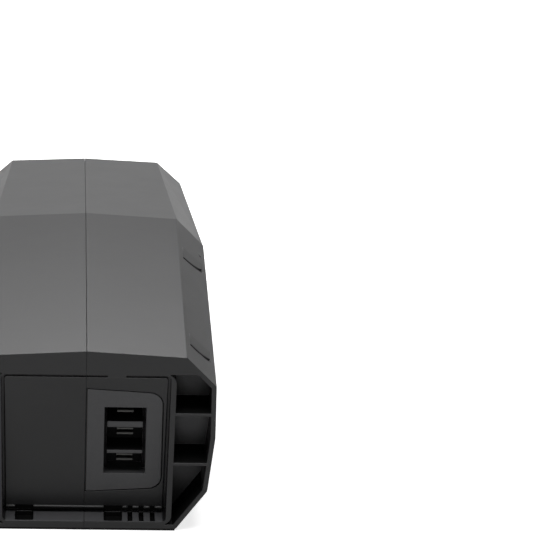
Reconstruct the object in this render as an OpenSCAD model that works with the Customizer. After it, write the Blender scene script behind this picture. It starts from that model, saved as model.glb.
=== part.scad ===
// Downtube battery of an electric bicycle: two moulded half housings joined along a lengthwise seam,
// with a ribbed docking end that holds a three-blade socket, a flank with a charge port and a power button,
// and inside them a pack of cells, its holders, its busbars and its management board.
// The battery lies on its flat back. X runs across it, +Y from the docking end to the lock end, +Z up.

/* [Housing outline] */
// Length from the docking end to the lock end
body_length = 372; // [368:1:400]
// Distance from the docking end to the fold of the roof
fold_distance = 220; // [210:1:226]
// Width across the two flanks
body_width = 120; // [116:1:128]
// Height of the roof's ridge
ridge_height = 87.3; // [86:0.1:90]
// Half the width of the roof
roof_half_width = 46.1; // [44:0.1:48]
// Height of the roof's outer corners
roof_corner_height = 84.8; // [84:0.1:86.5]
// Height at which the sloped shoulder meets the flank
shoulder_height = 70.9; // [69:0.1:73]
// Height below which the flank leans inwards
flank_height = 45.6; // [42:0.1:46.5]
// Half the width at the hip, where the side turns under
hip_half_width = 56.8; // [55:0.1:58]
// Height of the hip
hip_height = 19.5; // [18:0.1:21]
// Half the width of the flat back
base_half_width = 42.4; // [41.5:0.1:44]
// Height of the ridge at the lock end
far_ridge_height = 72.6; // [71:0.1:76]
// Half the width of the roof at the lock end
far_roof_half_width = 39.1; // [37:0.1:42]
// Height of the roof's outer corners at the lock end
far_roof_corner_height = 70.9; // [69.5:0.1:72]
// Half the width across the flanks at the lock end
far_half_width = 52.2; // [51:0.1:55]
// Height of the shoulder at the lock end
far_shoulder_height = 59; // [57:0.1:62]
// Wall thickness of the housing
wall = 2.3; // [2:0.1:2.6]
// Gap of the seam between the two half housings
seam_gap = 0.12; // [0.1:0.02:0.3]
// Thickness of the foam pad under the flat back
pad_thickness = 0.6; // [0.5:0.1:1]
// Distance from the edge of the flat back to the foam pad
pad_margin = 1.4; // [1:0.1:4]

/* [Docking end] */
// Height of the top edge of the sunken panel
panel_top = 74.7; // [73:0.1:76]
// Height of the bottom edge of the sunken panel
panel_bottom = 6.5; // [6.2:0.1:8]
// Depth to which the panel slants back at its bottom edge
panel_depth = 11.8; // [9:0.1:13]
// Thickness of the panel behind its edge groove
panel_wall = 2.4; // [2:0.1:2.8]
// Width of the groove above the panel
slot_height = 0.9; // [0.6:0.1:1.4]
// Width of the groove beside the panel
groove_width = 1.4; // [1:0.1:1.8]
// Depth of the grooves round the panel
groove_depth = 1.6; // [1:0.1:2]
// Half the width of the recess at its top
recess_half_width = 39; // [38:0.1:40]
// Half the width of the recess at its bottom
recess_base_half_width = 37.8; // [37:0.1:39]
// Radius in the corners of the recess
recess_radius = 2; // [1:0.1:3]
// Thickness of the upright rim beside the recess
rim_thickness = 2.6; // [2.4:0.1:3]
// Radius of the outer corners of the rim
rim_radius = 4.2; // [3:0.1:4.6]
// Height of the ledge below the panel
ledge_height = 4.3; // [4:0.1:5]
// Depth of the slot under the panel, from the end face
under_depth = 15.2; // [14.8:0.1:17]
// Height of the small bead along the bottom edge of the panel
bead_height = 1; // [0.5:0.1:1.2]
// Distance by which the bead stands proud of the panel
bead_proud = 0.6; // [0.3:0.1:1]
// Left edge of the bridge across the groove above the panel
bridge_left = 9.7; // [8:0.1:11]
// Width of the bridge across the groove above the panel
bridge_width = 8.7; // [7:0.1:10]
// Depth of the pockets in the wings
pocket_depth = 26; // [24:0.1:28]
// Height of the pockets' upper edge
pocket_top = 76.2; // [75.8:0.1:77]
// Thickness of the ribs that divide the pockets
pocket_rib = 1.5; // [1.2:0.1:2]
// Height of the lower rib
lower_rib_height = 32; // [30:0.1:34]
// Height of the upper rib
upper_rib_height = 56.2; // [54:0.1:58]
// Width of the two latch windows in the ledge
latch_width = 8.4; // [7:0.1:9]
// Centre of the left latch window
latch_left = -27.8; // [-30:0.1:-25]
// Centre of the right latch window
latch_right = 13.4; // [12:0.1:14]
// Length of the latch windows along the battery
latch_length = 12; // [11.8:0.1:13]
// Radius of the latch windows' upright corners
latch_radius = 1; // [0.5:0.1:2]
// Height of the upper edge of the latch windows and the drain slots
latch_top = 7.6; // [7.5:0.1:9]
// Width of the drain slots
drain_width = 2.1; // [1.5:0.1:2.5]
// Distance between the drain slots
drain_pitch = 5.2; // [4.5:0.1:5.4]
// Centre of the first drain slot
drain_left = 21.35; // [20.5:0.05:22]
// Number of drain slots
drain_count = 3; // [2:1:3]
// Thickness of the skin left in front of the windows and slots, and under them
drain_skin = 1.1; // [0.8:0.1:1.4]

/* [Thumb scoops] */
// Width of a scoop across the shoulder
scoop_width = 13.6; // [11:0.1:15]
// Length over which a scoop's dish runs out
scoop_length = 14; // [10:0.1:16]
// Depth of the dish at the sharp edge of its groove
scoop_depth = 0.25; // [0.2:0.05:0.4]
// Radius of the groove's sharp edge
scoop_radius = 19; // [14:0.5:24]
// Width of the groove in front of the sharp edge
scoop_groove = 3.6; // [3:0.1:4]
// Depth of the groove
scoop_groove_depth = 1.3; // [1:0.1:1.5]
// Distance from the docking end to the first scoop's sharp edge
scoop_near = 29.2; // [28:0.1:34]
// Distance from the docking end to the second scoop's sharp edge
scoop_far = 166.3; // [150:0.1:170]
// Turn of the first scoop's groove
scoop_near_turn = 19; // [0:1:25]
// Turn of the second scoop's groove
scoop_far_turn = 31; // [0:1:35]

/* [Case joint] */
// Reach of the lip across the seam
lip_reach = 1.6; // [1.2:0.1:2]
// Clearance round the lip
lip_clearance = 0.15; // [0.1:0.05:0.3]
// Thickness of the seam's gasket
gasket_thickness = 0.8; // [0.5:0.1:1.2]
// Radius of the columns that take the case screws
column_radius = 4.6; // [4.4:0.1:5]
// Thickness of the web between a column and the roof
column_web = 2; // [1.6:0.1:3]
// Radius of a case screw
screw_radius = 1.5; // [1.25:0.05:1.6]
// Radius of a case screw's head
screw_head_radius = 2.75; // [2.5:0.05:2.9]
// Height of a case screw's head
screw_head_height = 2.4; // [2:0.1:3]
// Distance from the seam to the seat of a case screw's head
screw_seat = 8; // [6:0.5:10]
// Length by which a case screw enters the right half
screw_grip = 8; // [6:0.5:10]
// Clearance round a case screw's shank
screw_clearance = 0.2; // [0.1:0.05:0.3]
// Clearance round a case screw's head
head_clearance = 0.4; // [0.3:0.05:0.5]
// Width of the hexagonal key of the screws, across its flats
key_width = 2.5; // [2:0.1:3]
// Clearance of a screw in the hole that holds it
thread_clearance = 0.05; // [0.03:0.01:0.08]
// Thickness of the ribs inside the housing
rib_thickness = 2.3; // [2:0.1:2.6]

/* [Socket] */
// Left edge of the socket's flange
flange_left = 0.6; // [0.4:0.1:1.2]
// Right edge of the socket's flange
flange_right = 35.5; // [34:0.1:36]
// Distance down the panel to the flange's upper left corner
flange_top = 6.1; // [5:0.1:7]
// Length of the flange down the panel, at its left edge
flange_length = 54.2; // [52:0.1:55]
// Slant of the flange's upper and lower edges
flange_slant = 1.8; // [1:0.1:2.5]
// Radius of the flange's outer corners
flange_radius = 6.2; // [5:0.1:8]
// Thickness of the flange
flange_thickness = 2; // [1.6:0.1:2.4]
// Gap round the flange
flange_gap = 0.35; // [0.2:0.05:0.5]
// Left edge of the socket's mouth
mouth_left = 8.7; // [7.5:0.1:10]
// Width of the socket's mouth
mouth_width = 19.2; // [18:0.1:20]
// Height of the mouth's upper edge
mouth_top = 59.3; // [58.5:0.1:60]
// Height of the mouth's lower edge
mouth_bottom = 24.9; // [24:0.1:26]
// Width of the channels in the mouth beside the dividers
mouth_channel = 1.3; // [1:0.1:1.6]
// Depth of these channels behind the flange's face
channel_depth = 8; // [6:0.5:10]
// Height by which the upper chamber rises behind the flange
chamber_rise = 0.7; // [0.4:0.1:1]
// Depth of the dividers' front edges behind the flange's face
divider_setback = 1.5; // [1:0.1:2]
// Height of the upper divider's lower face
upper_divider_height = 48.4; // [48:0.1:49]
// Thickness of the upper divider
upper_divider = 3.15; // [2.5:0.05:3.3]
// Height of the lower divider's lower face
lower_divider_height = 34.8; // [34.6:0.1:35.4]
// Thickness of the lower divider
lower_divider = 1.8; // [1.5:0.1:2.2]
// Wall thickness of the socket's body
socket_wall = 1.8; // [1.5:0.1:2]
// Distance from the end face to the back of the socket's body
socket_back = 27; // [26.5:0.1:28]
// Clearance round the socket's body
socket_clearance = 0.3; // [0.2:0.05:0.4]
// Width of a fork contact
fork_width = 7.5; // [6.5:0.1:8]
// Height of the gap between a fork's two leaves
fork_gap = 1.1; // [0.8:0.1:1.3]
// Thickness of a fork's leaves
fork_leaf = 0.9; // [0.7:0.05:1]
// Radius of the rolled tips of the leaves
fork_tip = 0.65; // [0.55:0.05:0.7]
// Distance from the flange's face to the forks' tips
fork_setback = 3; // [2.5:0.1:4]
// Distance from a divider down to the middle of the fork below it
fork_drop = 2.3; // [2.2:0.1:2.6]
// Length of the solder tail behind the socket
tail_length = 5; // [4:0.1:5.5]
// Thickness of the retainer behind the panel
retainer_thickness = 1.6; // [1.2:0.1:2]
// Depth of the grooves that take the retainer
retainer_bite = 0.8; // [0.6:0.1:1]
// Width of the retainer's legs
retainer_leg = 5; // [4:0.1:6]
// Radius of the small screws that hold the retainer and the boards
small_screw_radius = 1.1; // [0.9:0.05:1.2]
// Length of the gauge board's screws in their posts
small_screw_grip = 2.6; // [2:0.1:3]

/* [Cell pack] */
// Diameter of a cell
cell_diameter = 21; // [20.6:0.1:21.2]
// Length of a cell
cell_length = 70; // [69:0.1:70.4]
// Distance between neighbouring cells
cell_pitch = 21.8; // [21.6:0.05:21.9]
// Number of cells one above the other
cell_rows = 3; // [2:1:3]
// Clearance round a cell in its holder
cell_clearance = 0.15; // [0.1:0.05:0.2]
// Distance from the docking end to the pack
pack_near = 36; // [35:0.1:37]
// Least room kept between the pack and the lock end
pack_end_room = 50; // [46:0.5:52]
// Depth by which a holder grips the cells
holder_grip = 11; // [8:0.5:14]
// Thickness of the web that stops the cells' ends
holder_web = 1.2; // [1:0.1:1.6]
// Thickness of the holder's outer frame beyond the cells' places
holder_frame = 0.4; // [0.3:0.1:0.5]
// Radius of the windows through which the cells are welded
weld_radius = 7.5; // [6:0.1:8.5]
// Thickness of the busbars
busbar_thickness = 0.3; // [0.2:0.05:0.4]
// Distance between neighbouring busbars
busbar_gap = 2.4; // [2:0.1:3]
// Width of the weld slot in a busbar
weld_slot = 1; // [0.8:0.1:1.4]
// Thickness of the insulating sheets
insulation_thickness = 0.5; // [0.4:0.1:0.6]
// Thickness of the foam below the pack
foam_thickness = 2.3; // [2:0.1:2.5]
// Width of the foam strips
foam_width = 9; // [7:0.1:10]
// Clearance of the foam to the roof, and of the pack to its end ribs
pack_clearance = 0.3; // [0.2:0.05:0.4]

/* [Management board] */
// Length of the board
board_length = 122; // [116:1:126]
// Height of the board
board_height = 44; // [42:1:46]
// Thickness of the board
board_thickness = 1.6; // [1.4:0.1:1.8]
// Distance from the docking end to the board
board_near = 104; // [102:1:106]
// Height of the board's lower edge
board_low = 17; // [16:0.5:18]
// Thickness of the tray that carries the board
tray_thickness = 1.5; // [1.2:0.1:1.8]
// Margin of the tray round the board
tray_margin = 3; // [2:0.1:4]
// Height of the tray's posts
post_height = 4.5; // [4:0.1:5]
// Radius of the tray's posts
post_radius = 3; // [2.6:0.1:3.4]
// Number of power transistors
transistor_count = 8; // [6:1:8]
// Thickness of a power transistor
transistor_thickness = 4.5; // [4:0.1:4.8]
// Thickness of the heat spreader
spreader_thickness = 2; // [1.6:0.1:2.4]

/* [Lock end] */
// Height of the strike bush's axis
strike_height = 30; // [28:0.5:32]
// Radius of the strike bush's bore
strike_bore_radius = 4.2; // [4:0.1:4.5]
// Outer radius of the strike bush
strike_radius = 8; // [7:0.1:8.5]
// Length of the strike bush
strike_length = 12; // [10:0.5:14]
// Radius of the strike bush's flange
strike_flange_radius = 10.5; // [10:0.1:11]
// Thickness of the strike bush's flange
strike_flange = 2; // [1.6:0.1:2.4]
// Sideways place of the vent plug
vent_offset = 30; // [27:0.5:32]
// Radius of the vent plug's cap
vent_radius = 6.5; // [6:0.1:7]
// Thickness of the vent plug's cap
vent_cap = 1.4; // [1.2:0.1:1.6]
// Radius of the vent plug's shank
vent_shank = 4; // [3.5:0.1:4.4]
// Length of the vent plug's shank
vent_length = 6; // [5:0.1:7]

/* [Charge port] */
// Distance from the docking end to the charge socket
charge_place = 75; // [72:0.5:78]
// Length of the charge cover
cover_length = 34; // [32:0.1:36]
// Height of the charge cover
cover_height = 20; // [18:0.1:21]
// Thickness of the charge cover
cover_thickness = 1.6; // [1.4:0.1:1.8]
// Gap round the charge cover
cover_gap = 0.4; // [0.3:0.05:0.6]
// Depth of the recess that holds the charge cover
cover_recess = 3; // [2.9:0.1:3.2]
// Corner radius of the charge cover
cover_radius = 4; // [3:0.1:5]
// Radius of the charge cover's barrel
barrel_radius = 1.4; // [1.3:0.05:1.4]
// Radius of the charge cover's hinge pin
hinge_radius = 0.75; // [0.6:0.05:0.8]
// Running clearance of the hinge pin
hinge_clearance = 0.06; // [0.03:0.01:0.08]
// Radius of the bore of the charge socket
charge_bore = 5; // [4.8:0.05:5.2]
// Outer radius of the charge socket's threaded body
charge_body = 6.2; // [6:0.05:6.4]
// Radius of the charge socket's flange
charge_flange = 8; // [7.5:0.1:8.5]
// Thickness of the charge socket's flange
charge_flange_thickness = 0.8; // [0.6:0.1:0.9]
// Length of the charge socket's body inside the housing
charge_length = 13; // [12:0.1:14]
// Radius of the charge socket's centre pin
charge_pin_radius = 1.05; // [0.9:0.05:1.25]
// Height of the charge socket's nut
charge_nut_height = 3; // [2.5:0.1:3.5]
// Length by which the cover's plug enters the charge socket
plug_length = 2.2; // [1.8:0.1:2.3]

/* [Gauge and button] */
// Distance from the docking end to the middle of the light bar
gauge_place = 172; // [168:0.5:174]
// Length of the light bar
gauge_length = 34; // [30:0.5:36]
// Height of the light bar
gauge_height = 5.5; // [5:0.1:7]
// Distance from the docking end to the power button
button_place = 202; // [201:0.5:205]
// Radius of the power button
button_radius = 5.4; // [5:0.1:6]
// Travel of the power button
button_travel = 0.6; // [0.4:0.1:0.8]
// Running clearance of the power button
button_clearance = 0.3; // [0.25:0.05:0.4]
// Radius of the power button's flange
button_flange = 6.8; // [6.6:0.1:7.2]
// Thickness of the power button's flange
button_flange_thickness = 1.1; // [1:0.1:1.4]
// Distance from the flank's outer face to the gauge board
gauge_board_depth = 8.4; // [8.2:0.1:9]
// Number of lights in the gauge
light_count = 5; // [4:1:5]

/* [Hidden] */
$fn = 40;

// How far every cut runs past the face that it opens
overrun = 1;
half_width = body_width / 2;
seam_half = seam_gap / 2;
base_height = pad_thickness;
far_taper = far_half_width / half_width;
far_drop = far_shoulder_height / shoulder_height;
slot_top = panel_top + slot_height;
panel_slope = panel_depth / (panel_top - panel_bottom);
panel_angle = atan(panel_slope);
recess_lean = (recess_half_width - recess_base_half_width) / (slot_top - ledge_height);
cavity_near = pocket_depth + wall;
floor_height = base_height + wall;
holder_half = cell_length / 2 + holder_web;
pack_half = holder_half + busbar_thickness + insulation_thickness;
cell_columns = floor((body_length - pack_near - pack_end_room) / cell_pitch);
pack_length = cell_columns * cell_pitch;
pack_bottom = floor_height + foam_thickness;
pack_height = cell_rows * cell_pitch + 2 * holder_frame;
pack_top = pack_bottom + pack_height;
pack_far = pack_near + pack_length;
flank_middle = (flank_height + shoulder_height) / 2;
flank_inner = half_width - wall;

shell_grey = [0.19, 0.19, 0.195];
socket_grey = [0.26, 0.26, 0.265];
holder_black = [0.1, 0.1, 0.1];
steel = [0.72, 0.72, 0.74];
copper = [0.8, 0.55, 0.35];

function unit(v) = v / norm(v);
function mix(a, b, t) = a + (b - a) * t;
function arc(centre, r, from, to, steps = 5) =
    [for (i = [0:steps]) centre + r * [cos(mix(from, to, i / steps)), sin(mix(from, to, i / steps))]];
function rounded(w, h, r) = concat(
    arc([w / 2 - r, h / 2 - r], r, 0, 90), arc([r - w / 2, h / 2 - r], r, 90, 180),
    arc([r - w / 2, r - h / 2], r, 180, 270), arc([w / 2 - r, r - h / 2], r, 270, 360));

// The right half of the cross-section, from the corner of the flat back up to the ridge
near_profile = [
    [base_half_width, base_height], [hip_half_width, hip_height], [half_width, flank_height],
    [half_width, shoulder_height], [roof_half_width, roof_corner_height], [0, ridge_height]];
far_profile = [
    [base_half_width * far_taper, base_height], [hip_half_width * far_taper, hip_height * far_drop],
    [far_half_width, flank_height * far_drop], [far_half_width, far_shoulder_height],
    [far_roof_half_width, far_roof_corner_height], [0, far_ridge_height]];
function profile_at(y) =
    let (t = max(0, (y - fold_distance) / (body_length - fold_distance)))
    [for (i = [0:len(near_profile) - 1]) mix(near_profile[i], far_profile[i], t)];
function both_sides(half) = concat(half, [for (i = [len(half) - 2:-1:0]) [-half[i][0], half[i][1]]]);
function inset(points, distance) = [
    for (i = [0:len(points) - 1])
        let (
            count = len(points),
            before = unit(points[i] - points[(i + count - 1) % count]),
            after = unit(points[(i + 1) % count] - points[i]),
            m = [-before[1], before[0]],
            n = [-after[1], after[0]])
        points[i] + distance * (m + n) / (1 + m * n)];
function closed_at(half, x) = concat(
    [[x, half[0][1]]], [for (i = [0:len(half) - 2]) half[i]], [[x, half[len(half) - 1][1]]]);
function outer_ring(y) = closed_at(profile_at(y), seam_half);
function inner_half(y) = let (all = inset(both_sides(profile_at(y)), wall)) [for (i = [0:5]) all[i]];
function inner_ring(y) = closed_at(inner_half(y), -overrun);
function panel_y(z) = (panel_top - z) * panel_slope;
function recess_x(z) = recess_base_half_width + (z - ledge_height) * recess_lean;

// A solid between cross-sections of (x, z) points that stand at the given y
module loft(rings, places) {
    count = len(rings[0]);
    last = len(rings) - 1;
    polyhedron(
        points = [for (k = [0:last]) for (p = rings[k]) [p[0], places[k], p[1]]],
        faces = concat(
            [[for (i = [count - 1:-1:0]) i]],
            [[for (i = [0:count - 1]) last * count + i]],
            [for (k = [0:last - 1]) for (i = [0:count - 1])
                [k * count + i, k * count + (i + 1) % count, (k + 1) * count + (i + 1) % count]],
            [for (k = [0:last - 1]) for (i = [0:count - 1])
                [k * count + i, (k + 1) * count + (i + 1) % count, (k + 1) * count + i]]));
}

module placed() translate([0, -body_length / 2, 0]) children();
module block(low, high) translate(low) cube(high - low);
// An outline of (y, z) points carried along X
module across(low, high) translate([low, 0, 0]) rotate([90, 0, 90]) linear_extrude(high - low) children();
// An outline of (x, z) points carried along Y
module along(low, high) translate([0, high, 0]) rotate([90, 0, 0]) linear_extrude(high - low) children();
module rod_x(low, high, r, y, z) translate([low, y, z]) rotate([0, 90, 0]) cylinder(h = high - low, r = r);
module rod_y(low, high, r, x, z) translate([x, low, z]) rotate([-90, 0, 0]) cylinder(h = high - low, r = r);
// The panel's own frame: Z runs up the panel and Y goes in
module on_panel() translate([0, 0, panel_top]) rotate([panel_angle, 0, 0]) children();

// Housing, right half; the left half mirrors it

module outer_half() loft([outer_ring(0), outer_ring(fold_distance), outer_ring(body_length)],
                         [0, fold_distance, body_length]);

module cavity() {
    far = body_length - wall;
    loft([inner_ring(cavity_near), inner_ring(fold_distance), inner_ring(far)],
         [cavity_near, fold_distance, far]);
}

// How far round the rim's outer corners are rounded, in degrees, and where the pocket's lower tip comes to lie
rim_sweep = 70;
pocket_tip = recess_x(ledge_height) + rim_thickness - rim_radius * (1 - cos(rim_sweep));

// The hollow behind the panel and above the wing pockets
end_cavity_half = pocket_tip - wall;
step_depth = under_depth + wall;
step_height = panel_bottom + wall;
function panel_back(z) = panel_y(z) + groove_depth + panel_wall;
module end_cavity() intersection() {
    along(0, cavity_near + overrun) polygon(closed_at(inner_half(0), -overrun));
    union() {
        across(-overrun, end_cavity_half) polygon([
            [step_depth, 0], [step_depth, step_height], [panel_back(step_height), step_height],
            [panel_back(slot_top), slot_top], [panel_back(slot_top), ridge_height],
            [cavity_near + overrun, ridge_height], [cavity_near + overrun, 0]]);
        block([-overrun, wall, pocket_top + wall], [half_width, cavity_near + overrun, ridge_height]);
    }
}

recess_outline = concat(
    [[-overrun, ledge_height]],
    arc([recess_x(ledge_height) - recess_radius, ledge_height + recess_radius], recess_radius, 270, 360),
    arc([recess_x(slot_top) - recess_radius, slot_top - recess_radius], recess_radius, 0, 90),
    [[-overrun, slot_top]]);
panel_outline = concat(
    [[-2 * overrun, panel_bottom], [recess_x(panel_bottom) - groove_width, panel_bottom]],
    arc([recess_x(panel_top) - groove_width - recess_radius / 2, panel_top - recess_radius / 2],
        recess_radius / 2, 0, 90),
    [[-2 * overrun, panel_top]]);
bead_top = panel_bottom + bead_height;

// The recess in front of the panel, with the grooves round it
module recess() difference() {
    intersection() {
        along(-overrun, under_depth + overrun) polygon(recess_outline);
        across(-overrun, half_width) polygon([
            [-overrun, ledge_height], [under_depth, ledge_height], [under_depth, panel_bottom],
            [panel_y(panel_bottom) + groove_depth, panel_bottom],
            [panel_y(slot_top) + groove_depth, slot_top], [-overrun, slot_top]]);
    }
    intersection() {
        along(-2 * overrun, under_depth + 2 * overrun) polygon(panel_outline);
        across(-2 * overrun, half_width) polygon([
            [panel_y(panel_bottom) - bead_proud, panel_bottom], [under_depth + overrun, panel_bottom],
            [under_depth + overrun, panel_top], [0, panel_top],
            [panel_y(bead_top), bead_top], [panel_y(bead_top) - bead_proud, bead_top]]);
    }
}

// The pocket in the wing, divided by two ribs
module wing_pocket() along(-overrun, pocket_depth) difference() {
    intersection() {
        polygon(closed_at(inset(both_sides(profile_at(0)), wall), 0));
        polygon(concat(
            [[half_width, base_height], [half_width, pocket_top],
             [recess_x(pocket_top) + rim_thickness - rim_radius * (1 - cos(rim_sweep)), pocket_top]],
            arc([recess_x(pocket_top) + rim_thickness - rim_radius, pocket_top - rim_radius],
                rim_radius, rim_sweep, 0),
            arc([recess_x(ledge_height) + rim_thickness - rim_radius, floor_height + rim_radius],
                rim_radius, 360, 360 - rim_sweep),
            [[pocket_tip, base_height]]));
    }
    for (low = [lower_rib_height, upper_rib_height])
        translate([0, low]) square([half_width, pocket_rib]);
}

// A thumb scoop: a groove whose sharp wall faces the docking end, and behind it a dish that runs out
shoulder_angle = atan2(roof_corner_height - shoulder_height, half_width - roof_half_width);
module scoop_disc(turn, r, half_depth) rotate([0, 0, turn]) translate([0, scoop_radius, 0])
    cylinder(h = 2 * half_depth, r = r, center = true, $fn = 64);
module scoop(place, turn) translate([(half_width + roof_half_width) / 2, place,
                                     (shoulder_height + roof_corner_height) / 2])
    rotate([0, shoulder_angle, 0]) intersection() {
        block([-scoop_width / 2, -scoop_length, -2 * scoop_groove_depth],
              [scoop_width / 2, 2 * scoop_length, 2 * scoop_groove_depth]);
        union() {
            difference() {
                scoop_disc(turn, scoop_radius + scoop_groove, scoop_groove_depth);
                scoop_disc(turn, scoop_radius, 2 * scoop_groove_depth);
            }
            intersection() {
                scoop_disc(turn, scoop_radius + scoop_groove / 2, scoop_groove_depth);
                rotate([0, 0, turn / 2]) across(-scoop_length, scoop_length) polygon([
                    [-scoop_length, -2 * scoop_depth], [2 * scoop_length, scoop_depth],
                    [2 * scoop_length, 2 * scoop_groove_depth], [-scoop_length, 2 * scoop_groove_depth]]);
            }
        }
    }

// The cross-section of the seam's lip in the seam's own plane, from the wing pockets round the lock end
seam_side = [
    [0, base_height], [body_length, base_height], [body_length, far_ridge_height],
    [fold_distance, ridge_height], [0, ridge_height]];
module lip_band(outer, inner) difference() {
    polygon(inset(seam_side, outer));
    polygon(inset(seam_side, inner));
    translate([-overrun, -overrun]) square([lip_near + overrun, ridge_height + 2 * overrun]);
}
lip_outer = wall / 2;
lip_near = cavity_near + wall / 2;

// The columns for the case screws, as [distance from the docking end, height]
roof_screw_shares = [0.2, 0.57, 0.93];
column_high = pack_top + column_radius + pack_clearance;
far_column_place = (pack_far + rib_thickness + body_length) / 2;
columns = concat(
    [for (share = roof_screw_shares) [share * fold_distance, column_high]],
    [[step_depth + column_radius / 2, step_height],
     [far_column_place, pack_bottom + 2 * column_radius],
     [far_column_place, far_shoulder_height - column_radius]]);
module column_bodies() for (c = columns) {
    near = c[0] < cavity_near;
    rod_x(seam_half, near ? end_cavity_half + overrun : half_width, column_radius, c[0], c[1]);
    if (c[1] > pack_top)
        block([seam_half, c[0] - column_web / 2, c[1]], [half_width, c[0] + column_web / 2, ridge_height]);
}

// Ribs that hold the pack between them, at its two ends and its two sides
rib_overlap = 2 * rib_thickness;
side_rib_shares = [0.07, 0.93];
side_rib_share = 0.4;
module pack_ribs() {
    for (y = [pack_near - pack_clearance - rib_thickness, pack_far + pack_clearance]) {
        block([seam_half, y, pack_top - rib_overlap], [half_width, y + rib_thickness, ridge_height]);
        block([seam_half, y, 0], [half_width, y + rib_thickness, pack_bottom + rib_overlap]);
    }
    for (share = side_rib_shares)
        block([pack_half + pack_clearance, pack_near + share * pack_length, 0],
              [half_width, pack_near + share * pack_length + rib_thickness, side_rib_share * pack_height]);
}

strike_seat = strike_radius + wall;
strike_depth = strike_length + wall;
module strike_seats() {
    rod_y(body_length - strike_length, body_length + overrun, strike_radius, 0, strike_height);
    rod_y(body_length - strike_flange, body_length + overrun, strike_flange_radius, 0, strike_height);
}
module half_housing() difference() {
    union() {
        difference() {
            outer_half();
            cavity();
            end_cavity();
        }
        intersection() {
            outer_half();
            union() {
                column_bodies();
                pack_ribs();
                rod_y(body_length - strike_depth, body_length,
                      max(strike_seat, strike_flange_radius + wall / 2), 0, strike_height);
            }
        }
    }
    wing_pocket();
    strike_seats();
    scoop(scoop_near, scoop_near_turn);
    scoop(scoop_far, scoop_far_turn);
}

module latch_window(x) translate([x, drain_skin + latch_length / 2, base_height + drain_skin])
    linear_extrude(latch_top - base_height - drain_skin)
        polygon(rounded(latch_width, latch_length, latch_radius));

module drain_slots() for (i = [0:drain_count - 1]) {
    x = drain_left + i * drain_pitch;
    block([x - drain_width / 2, drain_skin, base_height + drain_skin],
          [x + drain_width / 2, panel_y(panel_bottom) + groove_depth, latch_top]);
}

// Socket

fork_middle = mouth_left + mouth_width / 2;
mouth_right = mouth_left + mouth_width;
chamber_left = mouth_left + mouth_channel;
chamber_right = mouth_right - mouth_channel;
body_low = [mouth_left - socket_wall, mouth_bottom - socket_wall];
body_high = [mouth_right + socket_wall, mouth_top + chamber_rise + socket_wall];
chambers = [
    [mouth_bottom, lower_divider_height],
    [lower_divider_height + lower_divider, upper_divider_height],
    [upper_divider_height + upper_divider, mouth_top + chamber_rise]];
fork_heights = [for (c = chambers) c[1] - fork_drop];
panel_total = groove_depth + panel_wall;
retainer_screw_grip = panel_total - flange_thickness - pack_clearance;

function flange_outline(grow, left) = concat(
    [[left, -flange_top - flange_length - grow]],
    arc([flange_right - flange_radius, flange_slant + flange_radius - flange_top - flange_length],
        flange_radius + grow, 270, 360),
    arc([flange_right - flange_radius, -flange_top - flange_slant - flange_radius],
        flange_radius + grow, 0, 90),
    [[left, grow - flange_top]]);

module socket_body(grow) block(
    [body_low[0] - grow, 0, body_low[1] - grow], [body_high[0] + grow, socket_back, body_high[1] + grow]);

// Keeps only what lies at least a given depth behind the panel's face
module on_panel_behind(depth) intersection() {
    children();
    on_panel() block([0, depth, -ridge_height], [half_width, ridge_height, ridge_height]);
}

retainer_left = body_low[0] - retainer_leg;
retainer_right = body_high[0] + retainer_leg;
retainer_low = -(panel_top - body_low[1]) / cos(panel_angle)
    - (panel_total + retainer_thickness) * tan(panel_angle);
retainer_high = -(panel_top - body_high[1]) / cos(panel_angle);
retainer_screw_share = 0.5;
retainer_screw_places = [
    for (x = [body_low[0] - retainer_leg / 2, body_high[0] + retainer_leg / 2])
        [x, mix(retainer_low, retainer_high, retainer_screw_share)]];

module right_shell() color(shell_grey) placed() difference() {
    union() {
        half_housing();
        across(-lip_reach, wall) lip_band(lip_outer + lip_clearance, wall);
    }
    difference() {
        recess();
        block([bridge_left, 0, panel_top], [bridge_left + bridge_width, panel_total, slot_top + overrun]);
    }
    strike_seats();
    latch_window(latch_right);
    drain_slots();
    on_panel() along(-overrun, flange_thickness) polygon(flange_outline(flange_gap, -overrun));
    intersection() {
        socket_body(socket_clearance);
        block([0, 0, 0], [half_width, step_depth, ridge_height]);
    }
    on_panel() for (p = retainer_screw_places)
        rod_y(panel_total - retainer_screw_grip, panel_total + overrun,
              small_screw_radius + thread_clearance, p[0], p[1]);
    for (c = columns)
        rod_x(-overrun, screw_grip + screw_radius / 2, screw_radius + thread_clearance, c[0], c[1]);
}

// Flank fittings of the left half, drawn with +X outwards and mirrored into place

cover_axis_y = charge_place - cover_length / 2 + barrel_radius + cover_gap;
cover_axis_x = half_width - barrel_radius;
cover_floor = half_width - cover_recess;
gauge_board_face = half_width - gauge_board_depth;
lens_flange_length = gauge_length + wall;
gauge_post_radius = 2 * small_screw_radius;
gauge_posts = [gauge_place - lens_flange_length / 2 - button_clearance - gauge_post_radius,
               button_place + button_flange + button_clearance + gauge_post_radius];
gauge_board_near = gauge_posts[0] - gauge_post_radius;
gauge_board_far = gauge_posts[1] + gauge_post_radius;

module flank_outline(y, w, h, r) translate([y, flank_middle]) polygon(rounded(w, h, r));

module flank_bosses() {
    across(cover_floor - wall, half_width - wall / 2)
        flank_outline(charge_place, cover_length + 2 * wall, cover_height + 2 * wall, cover_radius + wall);
    for (y = gauge_posts)
        rod_x(gauge_board_face, half_width - wall / 2, gauge_post_radius, y, flank_middle);
}

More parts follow.
